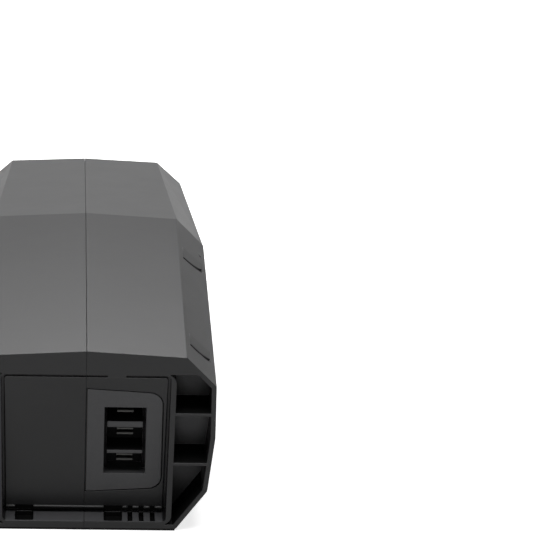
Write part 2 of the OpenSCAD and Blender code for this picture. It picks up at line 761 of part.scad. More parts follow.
module flank_cuts() {
    across(cover_floor, half_width + overrun)
        flank_outline(charge_place, cover_length, cover_height, cover_radius);
    rod_x(cover_floor - wall - overrun, half_width, charge_body + thread_clearance,
          charge_place, flank_middle);
    translate([cover_axis_x, cover_axis_y, flank_middle])
        cylinder(h = cover_height + 2 * wall, r = hinge_radius + thread_clearance / 2, center = true);
    across(flank_inner - overrun, half_width + overrun)
        flank_outline(gauge_place, gauge_length, gauge_height, gauge_height / 2);
    rod_x(flank_inner - overrun, half_width + overrun, button_radius + button_clearance,
          button_place, flank_middle);
    for (y = gauge_posts)
        rod_x(gauge_board_face - overrun, gauge_board_face + 2 * small_screw_grip,
              small_screw_radius + thread_clearance, y, flank_middle);
}

module left_shell() color(shell_grey) placed() difference() {
    mirror([1, 0, 0]) difference() {
        union() {
            half_housing();
            flank_bosses();
        }
        across(-overrun, lip_reach + gasket_thickness) lip_band(lip_outer, wall + lip_clearance);
        recess();
        flank_cuts();
        for (c = columns) {
            rod_x(-overrun, screw_seat + overrun, screw_radius + screw_clearance, c[0], c[1]);
            rod_x(screw_seat, half_width, screw_head_radius + head_clearance, c[0], c[1]);
        }
        rod_y(body_length - vent_cap, body_length + overrun, vent_radius + thread_clearance,
              vent_offset, strike_height);
        rod_y(body_length - wall - overrun, body_length, vent_shank + thread_clearance,
              vent_offset, strike_height);
    }
    latch_window(latch_left);
}

module seam_gasket() color("dimgray") placed() difference() {
    across(-lip_reach - gasket_thickness, -lip_reach) lip_band(lip_outer + lip_clearance, wall);
    strike_seats();
}

module case_screws() color(steel) placed() for (c = columns) difference() {
    union() {
        rod_x(-screw_seat, screw_grip, screw_radius, c[0], c[1]);
        rod_x(-screw_seat - screw_head_height, -screw_seat, screw_head_radius, c[0], c[1]);
    }
    translate([-screw_seat - screw_head_height - overrun, c[0], c[1]]) rotate([0, 90, 0])
        cylinder(h = screw_head_height / 2 + overrun, d = key_width / cos(30), $fn = 6);
}

pad_near_half = base_half_width - pad_margin;
pad_far_half = base_half_width * far_taper - pad_margin;
module back_pad() color([0.06, 0.06, 0.06]) placed() linear_extrude(pad_thickness) polygon([
    [-pad_near_half, 0], [pad_near_half, 0], [pad_near_half, fold_distance],
    [pad_far_half, body_length - pad_margin], [-pad_far_half, body_length - pad_margin],
    [-pad_near_half, fold_distance]]);

module socket_housing() color(socket_grey) placed() difference() {
    union() {
        on_panel() along(0, flange_thickness) polygon(flange_outline(0, flange_left));
        intersection() {
            socket_body(0);
            on_panel() block([0, flange_thickness / 2, -ridge_height], [half_width, ridge_height, 0]);
        }
    }
    // The mouth, which keeps its full width beside the free front parts of the dividers
    difference() {
        intersection() {
            block([mouth_left, 0, mouth_bottom], [mouth_right, socket_back, mouth_top]);
            on_panel() block([0, -overrun, -ridge_height], [half_width, channel_depth, ridge_height]);
        }
        on_panel_behind(divider_setback) for (k = [0, 1])
            block([chamber_left, 0, chambers[k][1]], [chamber_right, socket_back, chambers[k + 1][0]]);
    }
    on_panel_behind(flange_thickness) for (c = chambers)
        block([chamber_left, 0, c[0]], [chamber_right, socket_back - socket_wall, c[1]]);
    // The slots for the forks' tails
    for (z = fork_heights)
        block([fork_middle - fork_width / 2 - thread_clearance, 0, z - fork_leaf / 2 - thread_clearance],
              [fork_middle + fork_width / 2 + thread_clearance, socket_back + overrun,
               z + fork_leaf / 2 + thread_clearance]);
    // The grooves for the retainer
    on_panel() for (side = [0, 1])
        block([side ? body_high[0] - retainer_bite : body_low[0] - overrun, panel_total, retainer_low],
              [side ? body_high[0] + overrun : body_low[0] + retainer_bite, panel_total + retainer_thickness,
               retainer_high - retainer_leg]);
}

// A fork contact: two sprung leaves with rolled tips, folded back to one tail that leaves at the socket's back
module fork(z) {
    tip = panel_y(z) + fork_setback;
    root = socket_back - socket_wall;
    inner = fork_gap / 2;
    outer = inner + fork_leaf;
    tail = fork_leaf / 2;
    low = fork_middle - fork_width / 2;
    high = fork_middle + fork_width / 2;
    translate([0, 0, z]) {
        for (side = [-1, 1]) {
            rod_x(low, high, fork_tip, tip + fork_tip, side * (inner + fork_tip));
            across(low, high) polygon([
                [tip + fork_tip, side * (inner + fork_tip / 2)],
                [tip + fork_tip, side * (inner + 2 * fork_tip)],
                [root - 2 * outer, side * outer], [root - outer, side * outer], [root, side * tail],
                [root, 0], [root - fork_gap, 0], [root - 2 * fork_gap, side * inner]]);
        }
        block([low, root - fork_gap, -tail], [high, socket_back + tail_length, tail]);
    }
}
module positive_fork() color(copper) placed() fork(fork_heights[2]);
module signal_fork() color(copper) placed() fork(fork_heights[1]);
module negative_fork() color(copper) placed() fork(fork_heights[0]);

// A fork-shaped plate that slides into the socket's side grooves and is screwed to the panel's back
module socket_retainer() color(steel) placed() on_panel() difference() {
    block([retainer_left, panel_total, retainer_low - retainer_leg],
          [retainer_right, panel_total + retainer_thickness, retainer_high - retainer_leg - pack_clearance]);
    block([body_low[0] + retainer_bite - thread_clearance, 0, retainer_low - thread_clearance],
          [body_high[0] - retainer_bite + thread_clearance, socket_back, 0]);
    for (p = retainer_screw_places)
        rod_y(panel_total - overrun, panel_total + retainer_thickness + overrun,
              small_screw_radius + screw_clearance, p[0], p[1]);
}

module small_screw(low, seat, head) {
    rod_y(low, seat, small_screw_radius, 0, 0);
    rod_y(seat, seat + head, 2 * small_screw_radius, 0, 0);
}
module retainer_screws() color(steel) placed() on_panel() for (p = retainer_screw_places)
    translate([p[0], 0, p[1]])
        small_screw(panel_total - retainer_screw_grip, panel_total + retainer_thickness, small_screw_radius);

// Cell pack

function column_y(i) = pack_near + (i + 0.5) * cell_pitch;
function row_z(j) = pack_bottom + holder_frame + (j + 0.5) * cell_pitch;

module cell_holder() difference() {
    block([holder_half - holder_grip, pack_near, pack_bottom], [holder_half, pack_far, pack_top]);
    for (i = [0:cell_columns - 1]) for (j = [0:cell_rows - 1]) {
        rod_x(holder_half - holder_grip - overrun, cell_length / 2, cell_diameter / 2 + cell_clearance,
              column_y(i), row_z(j));
        rod_x(0, half_width, weld_radius, column_y(i), row_z(j));
    }
}
module right_cell_holder() color(holder_black) placed() cell_holder();
module left_cell_holder() color(holder_black) placed() mirror([1, 0, 0]) cell_holder();

// One row of cells; each has a crimped neck near its positive end, and the columns alternate
neck_share = 0.06;
neck_depth_share = 0.04;
module cell_row(j) color("steelblue") placed() for (i = [0:cell_columns - 1])
    translate([0, column_y(i), row_z(j)]) rotate([0, i % 2 ? 90 : -90, 0]) difference() {
        cylinder(h = cell_length, d = cell_diameter, center = true);
        translate([0, 0, cell_length * (0.5 - neck_share)]) difference() {
            cylinder(h = cell_length * neck_depth_share / 2, d = cell_diameter + overrun);
            cylinder(h = cell_length, d = cell_diameter * (1 - neck_depth_share), center = true);
        }
    }
module top_row_cells() cell_row(cell_rows - 1);
module middle_row_cells() cell_row(1);
module bottom_row_cells() cell_row(0);

// The busbars join the columns in pairs, staggered by one column between the two sides
module busbars(first) {
    for (i = [first:2:cell_columns - 1]) {
        low = pack_near + max(0, i) * cell_pitch + busbar_gap / 2;
        high = pack_near + min(cell_columns, i + 2) * cell_pitch - busbar_gap / 2;
        difference() {
            block([holder_half, low, row_z(0) - weld_radius],
                  [holder_half + busbar_thickness, high, row_z(cell_rows - 1) + weld_radius]);
            for (k = [max(0, i):min(cell_columns, i + 2) - 1]) for (j = [0:cell_rows - 1])
                block([holder_half - overrun, column_y(k) - weld_slot / 2, row_z(j) - weld_radius / 2],
                      [half_width, column_y(k) + weld_slot / 2, row_z(j) + weld_radius / 2]);
        }
    }
}
module right_busbars() color("silver") placed() busbars(0);
module left_busbars() color("silver") placed() mirror([1, 0, 0]) busbars(-1);

module insulation() block(
    [holder_half + busbar_thickness, pack_near, pack_bottom], [pack_half, pack_far, pack_top]);
module right_insulation() color("tan") placed() insulation();
module left_insulation() color("tan") placed() mirror([1, 0, 0]) insulation();

foam_low = holder_half - foam_width;
foam_start_share = 0.72;
foam_end_share = 0.35;
roof_foam_top = min(ridge_height, roof_corner_height) - wall - pack_clearance;
floor_foam_high = min(holder_half, base_half_width - 2 * wall);
function between_columns(i) = [
    columns[i][0] + column_radius + overrun, columns[i + 1][0] - column_radius - overrun];
module upper_foam() color("dimgray") placed() for (i = [0, 1]) {
    y = between_columns(i);
    for (side = [0, 1]) mirror([side, 0, 0])
        block([foam_low, i == 0 ? mix(y[0], y[1], foam_start_share) : y[0], pack_top],
              [foam_low + foam_width, i == 0 ? y[1] : mix(y[0], y[1], foam_end_share), roof_foam_top]);
}
module lower_foam() color("dimgray") placed() for (side = [0, 1]) mirror([side, 0, 0])
    block([floor_foam_high - foam_width, pack_near + rib_overlap, floor_height],
          [floor_foam_high, pack_far - rib_overlap, pack_bottom]);

// Management board

tray_face = pack_half + tray_thickness;
board_face = tray_face + post_height;
board_top_face = board_face + board_thickness;
board_far = board_near + board_length;
board_high = board_low + board_height;
board_corners = [
    for (y = [board_near + post_radius, board_far - post_radius])
        for (z = [board_low + post_radius, board_high - post_radius]) [y, z]];
module board_tray() color(holder_black) placed() difference() {
    union() {
        block([pack_half, board_near - tray_margin, board_low - tray_margin],
              [tray_face, board_far + tray_margin, board_high + tray_margin]);
        for (c = board_corners)
            rod_x(pack_half + tray_thickness / 2, board_face, post_radius, c[0], c[1]);
    }
    for (c = board_corners)
        rod_x(tray_face, board_face + overrun, small_screw_radius + thread_clearance, c[0], c[1]);
}
module management_board() color("darkgreen") placed() difference() {
    block([board_face, board_near, board_low], [board_top_face, board_far, board_high]);
    for (c = board_corners)
        rod_x(board_face - overrun, board_top_face + overrun, small_screw_radius + screw_clearance,
              c[0], c[1]);
}
module board_screws() color(steel) placed() for (c = board_corners)
    translate([board_top_face, c[0], c[1]]) rotate([0, 0, -90])
        small_screw(-board_thickness - post_height + small_screw_radius, 0, small_screw_radius);

transistor_share = 0.62;
transistor_width_share = 0.72;
transistor_row = [board_near + 4 * post_radius, board_far - 4 * post_radius];
transistor_pitch = (transistor_row[1] - transistor_row[0]) / transistor_count;
module power_transistors() color([0.12, 0.12, 0.12]) placed() for (i = [0:transistor_count - 1]) {
    y = transistor_row[0] + i * transistor_pitch;
    block([board_top_face, y, mix(board_low, board_high, transistor_share / 2)],
          [board_top_face + transistor_thickness, y + transistor_pitch * transistor_width_share,
           mix(board_low, board_high, transistor_share)]);
}
module heat_spreader() color("lightgray") placed() {
    face = board_top_face + transistor_thickness;
    difference() {
        block([face, transistor_row[0], mix(board_low, board_high, transistor_share / 2)],
              [face + spreader_thickness, transistor_row[1], mix(board_low, board_high, transistor_share)]);
        for (i = [1:transistor_count - 1])
            block([face + spreader_thickness / 2,
                   transistor_row[0] + i * transistor_pitch - spreader_thickness / 2, 0],
                  [half_width, transistor_row[0] + i * transistor_pitch, ridge_height]);
    }
}

// Where the flat sense ribbon crosses the pack, and the plugs on the board
ribbon_near_share = 0.5;
ribbon_width = board_length / 8;
ribbon_thickness = board_thickness / 2;
ribbon_y = mix(board_near, board_far, ribbon_near_share);
plug_height = transistor_thickness;
plug_low = mix(board_low, board_high, 0.78);
module board_connectors() color("ivory") placed() {
    block([board_top_face, ribbon_y, plug_low],
          [board_top_face + plug_height, ribbon_y + ribbon_width, board_high - overrun]);
    block([board_top_face, ribbon_y + 2 * ribbon_width, plug_low],
          [board_top_face + plug_height, ribbon_y + 2.5 * ribbon_width, board_high - overrun]);
}
ribbon_out = board_top_face + plug_height / 2;
module sense_ribbon() color("gray") placed() {
    high = pack_top + ribbon_thickness;
    left = -pack_half - ribbon_thickness;
    along(ribbon_y, ribbon_y + ribbon_width) polygon([
        [ribbon_out, board_high - overrun], [ribbon_out, pack_top], [left + ribbon_thickness, pack_top],
        [left + ribbon_thickness, row_z(1)], [left, row_z(1)], [left, high],
        [ribbon_out + ribbon_thickness, high], [ribbon_out + ribbon_thickness, board_high - overrun]]);
}

// Leads: round tubes swept along points chosen by hand
lead_radius = 1.75;
thin_lead_radius = 1.2;
lead_sides = 8;
socket_lead_high = [
    [46.6, 108, 53], [46.6, 95, 54.5], [46.4, 75, 56.5], [46, 55, 57.5], [44, 41, 57.5], [41, 34, 57.5],
    [36, 31, 57.5], [22.2, 31, 57.5]];
socket_lead_middle = [
    [46.6, 108, 49], [46.6, 95, 49], [46.4, 75, 48.5], [46, 55, 47], [44, 41, 46], [41, 34, 46],
    [36, 31, 46], [22.2, 31, 46]];
socket_lead_low = [
    [46.6, 108, 45], [46.6, 95, 43.5], [46.4, 75, 39.5], [46, 55, 35], [44, 41, 33], [41, 34, 32.5],
    [36, 31, 32.5], [22.2, 31, 32.5]];
charge_lead_routes = [
    [[-42, 73, 61], [-42, 74, 70], [-40, 76, 75.5], [-30, 80, 77], [0, 84, 77], [30, 88, 77], [42, 94, 75],
     [46.2, 102, 68], [46.2, 110, 60.5]],
    [[-42, 78, 61], [-42, 79, 70], [-40, 81, 75.5], [-30, 85, 77], [0, 89, 77], [30, 93, 77], [42, 99, 75],
     [46.2, 107, 68], [46.2, 116, 60.5]]];
gauge_lead_route = [
    [-48.7, 181, 62], [-47, 184, 70], [-42, 186, 75], [-30, 187, 76.5], [0, 188, 76.5], [30, 189, 76.5],
    [41, 190, 75], [46.4, 190, 68], [46.4, 190, 60.3]];

function direction(points, i) = unit(points[min(i + 1, len(points) - 1)] - points[max(i - 1, 0)]);
module lead(points, r) {
    count = len(points);
    // Each ring stands square to the route, with its first point away from the world's Z or Y axis
    rings = [for (i = [0:count - 1])
        let (
            d = direction(points, i),
            u = unit(cross(d, [0.3, 0.2, 1])),
            v = cross(d, u))
        [for (k = [0:lead_sides - 1])
            points[i] + r * (u * cos(360 * k / lead_sides) + v * sin(360 * k / lead_sides))]];
    polyhedron(
        points = [for (ring = rings) for (p = ring) p],
        faces = concat(
            [[for (k = [lead_sides - 1:-1:0]) k]],
            [[for (k = [0:lead_sides - 1]) (count - 1) * lead_sides + k]],
            [for (i = [0:count - 2]) for (k = [0:lead_sides - 1])
                [i * lead_sides + k, i * lead_sides + (k + 1) % lead_sides,
                 (i + 1) * lead_sides + (k + 1) % lead_sides]],
            [for (i = [0:count - 2]) for (k = [0:lead_sides - 1])
                [i * lead_sides + k, (i + 1) * lead_sides + (k + 1) % lead_sides,
                 (i + 1) * lead_sides + k]]));
}
module socket_leads() placed() {
    color("red") lead(socket_lead_high, lead_radius);
    color("white") lead(socket_lead_middle, thin_lead_radius);
    color("black") lead(socket_lead_low, lead_radius);
}
module charge_leads() color("red") placed() for (route = charge_lead_routes) lead(route, thin_lead_radius);
module gauge_lead() color("gray") placed() lead(gauge_lead_route, thin_lead_radius);

// Fuse, seated on the left holder
fuse_length = 22;
fuse_height = 6;
fuse_near = columns[0][0] + column_radius + overrun;
fuse_low = holder_half - holder_grip + pack_clearance;
module fuse_holder() color([0.1, 0.1, 0.1]) placed() mirror([1, 0, 0]) difference() {
    block([fuse_low, fuse_near, pack_top], [holder_half, fuse_near + fuse_length, pack_top + fuse_height]);
    block([fuse_low + wall, fuse_near + wall, pack_top + wall],
          [holder_half - wall, fuse_near + fuse_length - wall, pack_top + fuse_height + overrun]);
}
module blade_fuse() color("limegreen") placed() mirror([1, 0, 0])
    block([fuse_low + wall + thread_clearance, fuse_near + wall + thread_clearance, pack_top + wall],
          [holder_half - wall - thread_clearance, fuse_near + fuse_length - wall - thread_clearance,
           pack_top + fuse_height + overrun]);

// Lock end

strike_gap = 0.02;
module strike_bush() color(steel) placed() difference() {
    union() {
        rod_y(body_length - strike_length, body_length, strike_radius - strike_gap, 0, strike_height);
        rod_y(body_length - strike_flange, body_length, strike_flange_radius - strike_gap, 0, strike_height);
    }
    rod_y(body_length - strike_length - overrun, body_length + overrun, strike_bore_radius,
          0, strike_height);
}

module vent_plug() color([0.15, 0.15, 0.15]) placed() mirror([1, 0, 0]) difference() {
    union() {
        rod_y(body_length - vent_cap, body_length, vent_radius, vent_offset, strike_height);
        rod_y(body_length - vent_length, body_length, vent_shank, vent_offset, strike_height);
    }
    rod_y(body_length - vent_length - overrun, body_length - vent_cap, vent_shank / 2,
          vent_offset, strike_height);
}

// Charge port

charge_back = cover_floor - charge_length;
module charge_socket() color([0.08, 0.08, 0.08]) placed() mirror([1, 0, 0]) difference() {
    union() {
        rod_x(cover_floor, cover_floor + charge_flange_thickness, charge_flange, charge_place, flank_middle);
        rod_x(charge_back, cover_floor, charge_body, charge_place, flank_middle);
    }
    rod_x(charge_back + wall, half_width, charge_bore, charge_place, flank_middle);
    rod_x(charge_back - overrun, half_width, charge_pin_radius + thread_clearance,
          charge_place, flank_middle);
}
charge_pin_tip = cover_floor + charge_flange_thickness - plug_length - overrun;
module charge_pin() color(steel) placed() mirror([1, 0, 0]) {
    rod_x(charge_back - overrun, charge_pin_tip, charge_pin_radius, charge_place, flank_middle);
}
module charge_nut() color(steel) placed() mirror([1, 0, 0]) difference() {
    translate([cover_floor - wall - charge_nut_height, charge_place, flank_middle]) rotate([0, 90, 0])
        cylinder(h = charge_nut_height, r = charge_flange + overrun, $fn = 6);
    rod_x(charge_back, half_width, charge_body + thread_clearance, charge_place, flank_middle);
}

cover_face = cover_floor + charge_flange_thickness + pack_clearance;
plug_radius = charge_bore - cover_gap;
module charge_cover() color([0.13, 0.13, 0.13]) placed() mirror([1, 0, 0]) difference() {
    union() {
        intersection() {
            across(cover_face, cover_face + cover_thickness)
                flank_outline(charge_place, cover_length - 2 * cover_gap, cover_height - 2 * cover_gap,
                              cover_radius - cover_gap);
            block([0, cover_axis_y, 0], [half_width, body_length, ridge_height]);
        }
        translate([cover_axis_x, cover_axis_y, flank_middle])
            cylinder(h = cover_height - 2 * cover_radius, r = barrel_radius, center = true);
        rod_x(cover_face - plug_length, cover_face + cover_thickness / 2, plug_radius,
              charge_place, flank_middle);
    }
    translate([cover_axis_x, cover_axis_y, flank_middle])
        cylinder(h = cover_height + overrun, r = hinge_radius + hinge_clearance, center = true);
    // Room beside the barrel, so that the cover's corners clear the recess
    for (side = [-1, 1])
        translate([cover_axis_x, cover_axis_y, flank_middle + side * (cover_height / 2 - cover_radius / 2)])
            cube([2 * cover_recess, 4 * barrel_radius, cover_radius], center = true);
    rod_x(cover_face - plug_length - overrun, cover_face - cover_gap, plug_radius - wall / 2,
          charge_place, flank_middle);
}
module charge_hinge_pin() color(steel) placed() mirror([1, 0, 0])
    translate([cover_axis_x, cover_axis_y, flank_middle])
        cylinder(h = cover_height + 2 * wall - overrun, r = hinge_radius, center = true);

// Gauge and button

lens_flange = wall / 2;
module gauge_lens() color([0.8, 0.85, 0.9]) placed() mirror([1, 0, 0]) {
    across(flank_inner - lens_flange / 2, half_width - cover_gap / 2)
        flank_outline(gauge_place, gauge_length - 2 * lip_clearance, gauge_height - 2 * lip_clearance,
                      gauge_height / 2 - lip_clearance);
    across(flank_inner - lens_flange, flank_inner)
        flank_outline(gauge_place, lens_flange_length, gauge_height + wall, gauge_height / 2);
}
gauge_board_height = 2 * (button_flange + wall / 2);
module gauge_board() color("darkgreen") placed() mirror([1, 0, 0]) difference() {
    block([gauge_board_face - board_thickness, gauge_board_near, flank_middle - gauge_board_height / 2],
          [gauge_board_face, gauge_board_far, flank_middle + gauge_board_height / 2]);
    for (y = gauge_posts)
        rod_x(gauge_board_face - board_thickness - overrun, gauge_board_face + overrun,
              small_screw_radius + screw_clearance, y, flank_middle);
}
module gauge_screws() color(steel) placed() mirror([1, 0, 0]) for (y = gauge_posts)
    translate([gauge_board_face - board_thickness, y, flank_middle]) rotate([0, 0, 90])
        small_screw(-board_thickness - small_screw_grip, 0, small_screw_radius);
light_size = gauge_height / 2;
module gauge_lights() color("white") placed() mirror([1, 0, 0]) for (i = [0:light_count - 1])
    translate([gauge_board_face + light_size / 4,
               gauge_place + (i - (light_count - 1) / 2) * (gauge_length - gauge_height) / (light_count - 1),
               flank_middle]) cube([light_size / 2, light_size, light_size], center = true);

button_back = flank_inner - button_flange_thickness - thread_clearance;
switch_plunger_radius = button_radius / 3;
switch_face = button_back - button_travel - 2 * button_clearance;
plunger_top = button_back - thread_clearance;
switch_size = 2 * button_flange_thickness + 2 * switch_plunger_radius;
plunger_bottom = mix(gauge_board_face, switch_face, 0.5) + button_travel;
module switch_body() color([0.1, 0.1, 0.1]) placed() mirror([1, 0, 0]) difference() {
    block([gauge_board_face, button_place - switch_size / 2, flank_middle - switch_size / 2],
          [switch_face, button_place + switch_size / 2, flank_middle + switch_size / 2]);
    rod_x(plunger_bottom - button_travel - thread_clearance, half_width,
          switch_plunger_radius + lip_clearance, button_place, flank_middle);
}
module switch_plunger() color("tan") placed() mirror([1, 0, 0])
    rod_x(plunger_bottom, plunger_top, switch_plunger_radius, button_place, flank_middle);
dish_radius = 3 * button_radius;
dish_depth = button_travel / 2;
module power_button() color([0.16, 0.16, 0.16]) placed() mirror([1, 0, 0]) difference() {
    union() {
        rod_x(button_back, button_back + button_flange_thickness, button_flange, button_place, flank_middle);
        rod_x(button_back, half_width - button_clearance, button_radius, button_place, flank_middle);
    }
    translate([half_width - button_clearance - dish_depth + dish_radius, button_place, flank_middle])
        sphere(dish_radius);
}

left_shell();
right_shell();
seam_gasket();
case_screws();
back_pad();
socket_housing();
positive_fork();
signal_fork();
negative_fork();
socket_retainer();
retainer_screws();
left_cell_holder();
right_cell_holder();
top_row_cells();
middle_row_cells();
bottom_row_cells();
left_busbars();
right_busbars();
left_insulation();
right_insulation();
upper_foam();
lower_foam();
board_tray();
management_board();
power_transistors();
board_connectors();
heat_spreader();
board_screws();
sense_ribbon();
socket_leads();
charge_leads();
gauge_lead();
fuse_holder();
blade_fuse();
strike_bush();
vent_plug();
charge_socket();
charge_pin();
charge_nut();
charge_cover();
charge_hinge_pin();
gauge_lens();
gauge_board();
gauge_lights();
switch_body();
switch_plunger();
power_button();
gauge_screws();
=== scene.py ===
"""A downtube battery of an electric bicycle, on a pale studio floor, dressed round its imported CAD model."""
import math

import bmesh
import bpy
from mathutils import Matrix, Vector


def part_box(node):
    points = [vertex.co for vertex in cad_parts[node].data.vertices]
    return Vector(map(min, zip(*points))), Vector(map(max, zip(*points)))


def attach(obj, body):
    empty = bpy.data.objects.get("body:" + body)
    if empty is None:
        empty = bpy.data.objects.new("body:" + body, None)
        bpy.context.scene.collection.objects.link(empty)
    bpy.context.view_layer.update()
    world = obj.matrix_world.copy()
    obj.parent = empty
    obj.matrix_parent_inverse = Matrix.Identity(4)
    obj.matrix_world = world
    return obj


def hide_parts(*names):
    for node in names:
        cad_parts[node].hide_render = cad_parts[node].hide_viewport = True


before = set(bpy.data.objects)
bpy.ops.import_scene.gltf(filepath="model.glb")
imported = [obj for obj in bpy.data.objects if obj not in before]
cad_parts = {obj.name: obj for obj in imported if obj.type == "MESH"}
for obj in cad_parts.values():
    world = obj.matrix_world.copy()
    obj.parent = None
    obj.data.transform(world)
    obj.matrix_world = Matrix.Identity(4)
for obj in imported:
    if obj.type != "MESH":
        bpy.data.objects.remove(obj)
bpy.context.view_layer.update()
mm = 0.001

# Camera. The photograph was taken from in front of the docking end, a little above the roof, with
# a long lens from about two metres away, so that the long sides hardly narrow.
camera_place = Vector((-13.85, -2034.5, 708.9)) * mm
camera_pitch = math.radians(17.5)
camera_yaw = math.radians(3.066)
camera_roll = math.radians(1.747)
camera_lens = 278.55
camera_sensor = 36
camera_reach = 20

camera_data = bpy.data.cameras.new("camera")
camera_data.lens = camera_lens
camera_data.sensor_width = camera_sensor
camera_data.clip_end = camera_reach
camera = bpy.data.objects.new("camera", camera_data)
bpy.context.scene.collection.objects.link(camera)
camera.matrix_world = (
    Matrix.Translation(camera_place)
    @ Matrix.Rotation(-camera_yaw, 4, "Z")
    @ Matrix.Rotation(math.radians(90) - camera_pitch, 4, "X")
    @ Matrix.Rotation(camera_roll, 4, "Z")
)
bpy.context.scene.camera = camera
bpy.context.scene.view_settings.view_transform = "Standard"


# Half housings. Two shells of ABS and polycarbonate, injection moulded in a spark-eroded tool and
# screwed together along the seam. The tool gives them a fine satin grain, and every outer edge
# keeps a small radius from it.
housing_edge_radius = 0.32 * mm
housing_fold_radius = 0.9 * mm
seam_edge_radius = 0.06 * mm
long_seam_radius = 0.2 * mm
seam_reach = 0.15 * mm
# Places in the docking end, in plain millimetres, that more than one of its finishes asks for.
panel_foot = -173.9
pocket_inner_side = 41


def linear(hex_colour):
    """An sRGB hex colour as linear red, green and blue, with alpha."""
    channels = [int(hex_colour[i:i + 2], 16) / 255 for i in (1, 3, 5)]
    return [c / 12.92 if c <= 0.04045 else ((c + 0.055) / 1.055) ** 2.4 for c in channels] + [1.0]


def add_node(material, kind, attributes=None, values=None, links=None):
    """Adds a node with its settings, the numbers of its inputs and the outputs that feed its inputs."""
    node = material.node_tree.nodes.new(kind)
    for name, value in (attributes or {}).items():
        setattr(node, name, value)
    for name, value in (values or {}).items():
        node.inputs[name].default_value = value
    for name, source in (links or {}).items():
        material.node_tree.links.new(source, node.inputs[name])
    return node


def new_material(name):
    """An empty node material, which the section that asks for it fills."""
    material = bpy.data.materials.new(name)
    material.use_nodes = True
    material.node_tree.nodes.clear()
    return material


def finished(name, dark, light, roughness, grain, relief, mottle=18.0, run=(1, 1, 1), base=None, **inputs):
    """A finish whose tone and gloss drift between two limits, with a grain in relief.

    mottle and grain are the sizes of the two patterns and relief is the grain's depth, in
    millimetres. run stretches the grain along the way a piece was rolled, drawn or turned. base
    paints over the drifting tone, and inputs are further values of the shader.
    """
    material = new_material(name)
    place = add_node(material, "ShaderNodeTexCoord").outputs["Object"]
    drift = add_node(
        material, "ShaderNodeTexNoise", {},
        {"Scale": 1 / (mottle * mm), "Detail": 3.0, "Roughness": 0.55},
        {"Vector": place}).outputs["Fac"]
    tone = add_node(
        material, "ShaderNodeMix", {"data_type": "RGBA"}, {"A": linear(dark), "B": linear(light)},
        {"Factor": drift}).outputs["Result"]
    gloss = add_node(
        material, "ShaderNodeMapRange", {}, {"To Min": roughness[0], "To Max": roughness[1]},
        {"Value": drift}).outputs["Result"]
    stretched = add_node(
        material, "ShaderNodeMapping", {}, {"Scale": [1 / length for length in run]},
        {"Vector": place}).outputs["Vector"]
    pits = add_node(
        material, "ShaderNodeTexNoise", {},
        {"Scale": 1 / (grain * mm), "Detail": 2.0, "Roughness": 0.6},
        {"Vector": stretched}).outputs["Fac"]
    bump = add_node(
        material, "ShaderNodeBump", {}, {"Strength": 0.3, "Distance": relief * mm},
        {"Height": pits}).outputs["Normal"]
    if base:
        tone = base(material, place, tone)
    shader = add_node(
        material, "ShaderNodeBsdfPrincipled", {}, inputs,
        {"Base Color": tone, "Roughness": gloss, "Normal": bump}).outputs["BSDF"]
    add_node(material, "ShaderNodeOutputMaterial", {}, {}, {"Surface": shader})
    return material


def dress(material, *node_names):
    """Gives CAD nodes their finish."""
    for node_name in node_names:
        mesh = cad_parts[node_name].data
        mesh.materials.clear()
        mesh.materials.append(material)


def stands_for(piece, node_name, body):
    """Puts a piece in the place of a CAD node, on its body."""
    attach(piece, body)
    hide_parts(node_name)


def rounded_copy(node_name, piece_name, radius, surface, edge, body, fold_radius=None, zones=()):
    """A copy of a CAD node with its edges rounded.

    A fold between two broad faces is rounded too, from one degree up.
    Each of the zones is a finish and the test that picks its faces by their middle, in mm, and
    their direction. Where two zones share a face, the later one has it.
    """
    weld_reach = 0.0005 * mm
    flat_turn = math.radians(0.5)
    slight_turn = math.radians(1)
    sharp_turn = math.radians(28)
    broad_face = 150 * mm * mm
    long_fold = 80 * mm
    rounding_steps = 2
    fold_radius = fold_radius or radius
    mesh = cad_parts[node_name].data.copy()
    mesh.materials.clear()
    mesh.materials.append(surface)
    mesh.materials.append(edge)
    edit = bmesh.new()
    edit.from_mesh(mesh)
    bmesh.ops.remove_doubles(edit, verts=edit.verts, dist=weld_reach)
    bmesh.ops.dissolve_limit(edit, angle_limit=flat_turn, verts=edit.verts, edges=edit.edges)
    weight = edit.edges.layers.float.new("bevel_weight_edge")
    for face in edit.faces:
        face.smooth = True
        face.material_index = 0
    area = {face: face.calc_area() for face in edit.faces}
    for line in edit.edges:
        if len(line.link_faces) != 2:
            continue
        turn = line.calc_face_angle(0)
        broad = min(area[face] for face in line.link_faces) > broad_face
        if turn < slight_turn or (turn < sharp_turn and not broad):
            continue
        is_long = line.calc_length() > long_fold
        if all(abs(corner.co.x) < seam_reach for corner in line.verts):
            line[weight] = (long_seam_radius if is_long else seam_edge_radius) / fold_radius
        elif broad and turn > sharp_turn and is_long:
            line[weight] = 1
        else:
            line[weight] = radius / fold_radius
    edit.to_mesh(mesh)
    edit.free()
    mesh.update()
    piece = bpy.data.objects.new(piece_name, mesh)
    bpy.context.scene.collection.objects.link(piece)
    rounding = piece.modifiers.new("rounding", "BEVEL")
    rounding.width = fold_radius
    rounding.segments = rounding_steps
    rounding.limit_method = "WEIGHT"
    rounding.use_clamp_overlap = False
    rounding.material = 1
    flat_faces = piece.modifiers.new("flat_faces", "WEIGHTED_NORMAL")
    flat_faces.keep_sharp = True
    evaluated = piece.evaluated_get(bpy.context.evaluated_depsgraph_get())
    piece.data = bpy.data.meshes.new_from_object(evaluated)
    piece.data.name = piece_name
    piece.modifiers.clear()
    for finish, belongs in zones:
        piece.data.materials.append(finish)
        for face in piece.data.polygons:
            if belongs(face.center / mm, face.normal):
                face.material_index = len(piece.data.materials) - 1
    stands_for(piece, node_name, body)
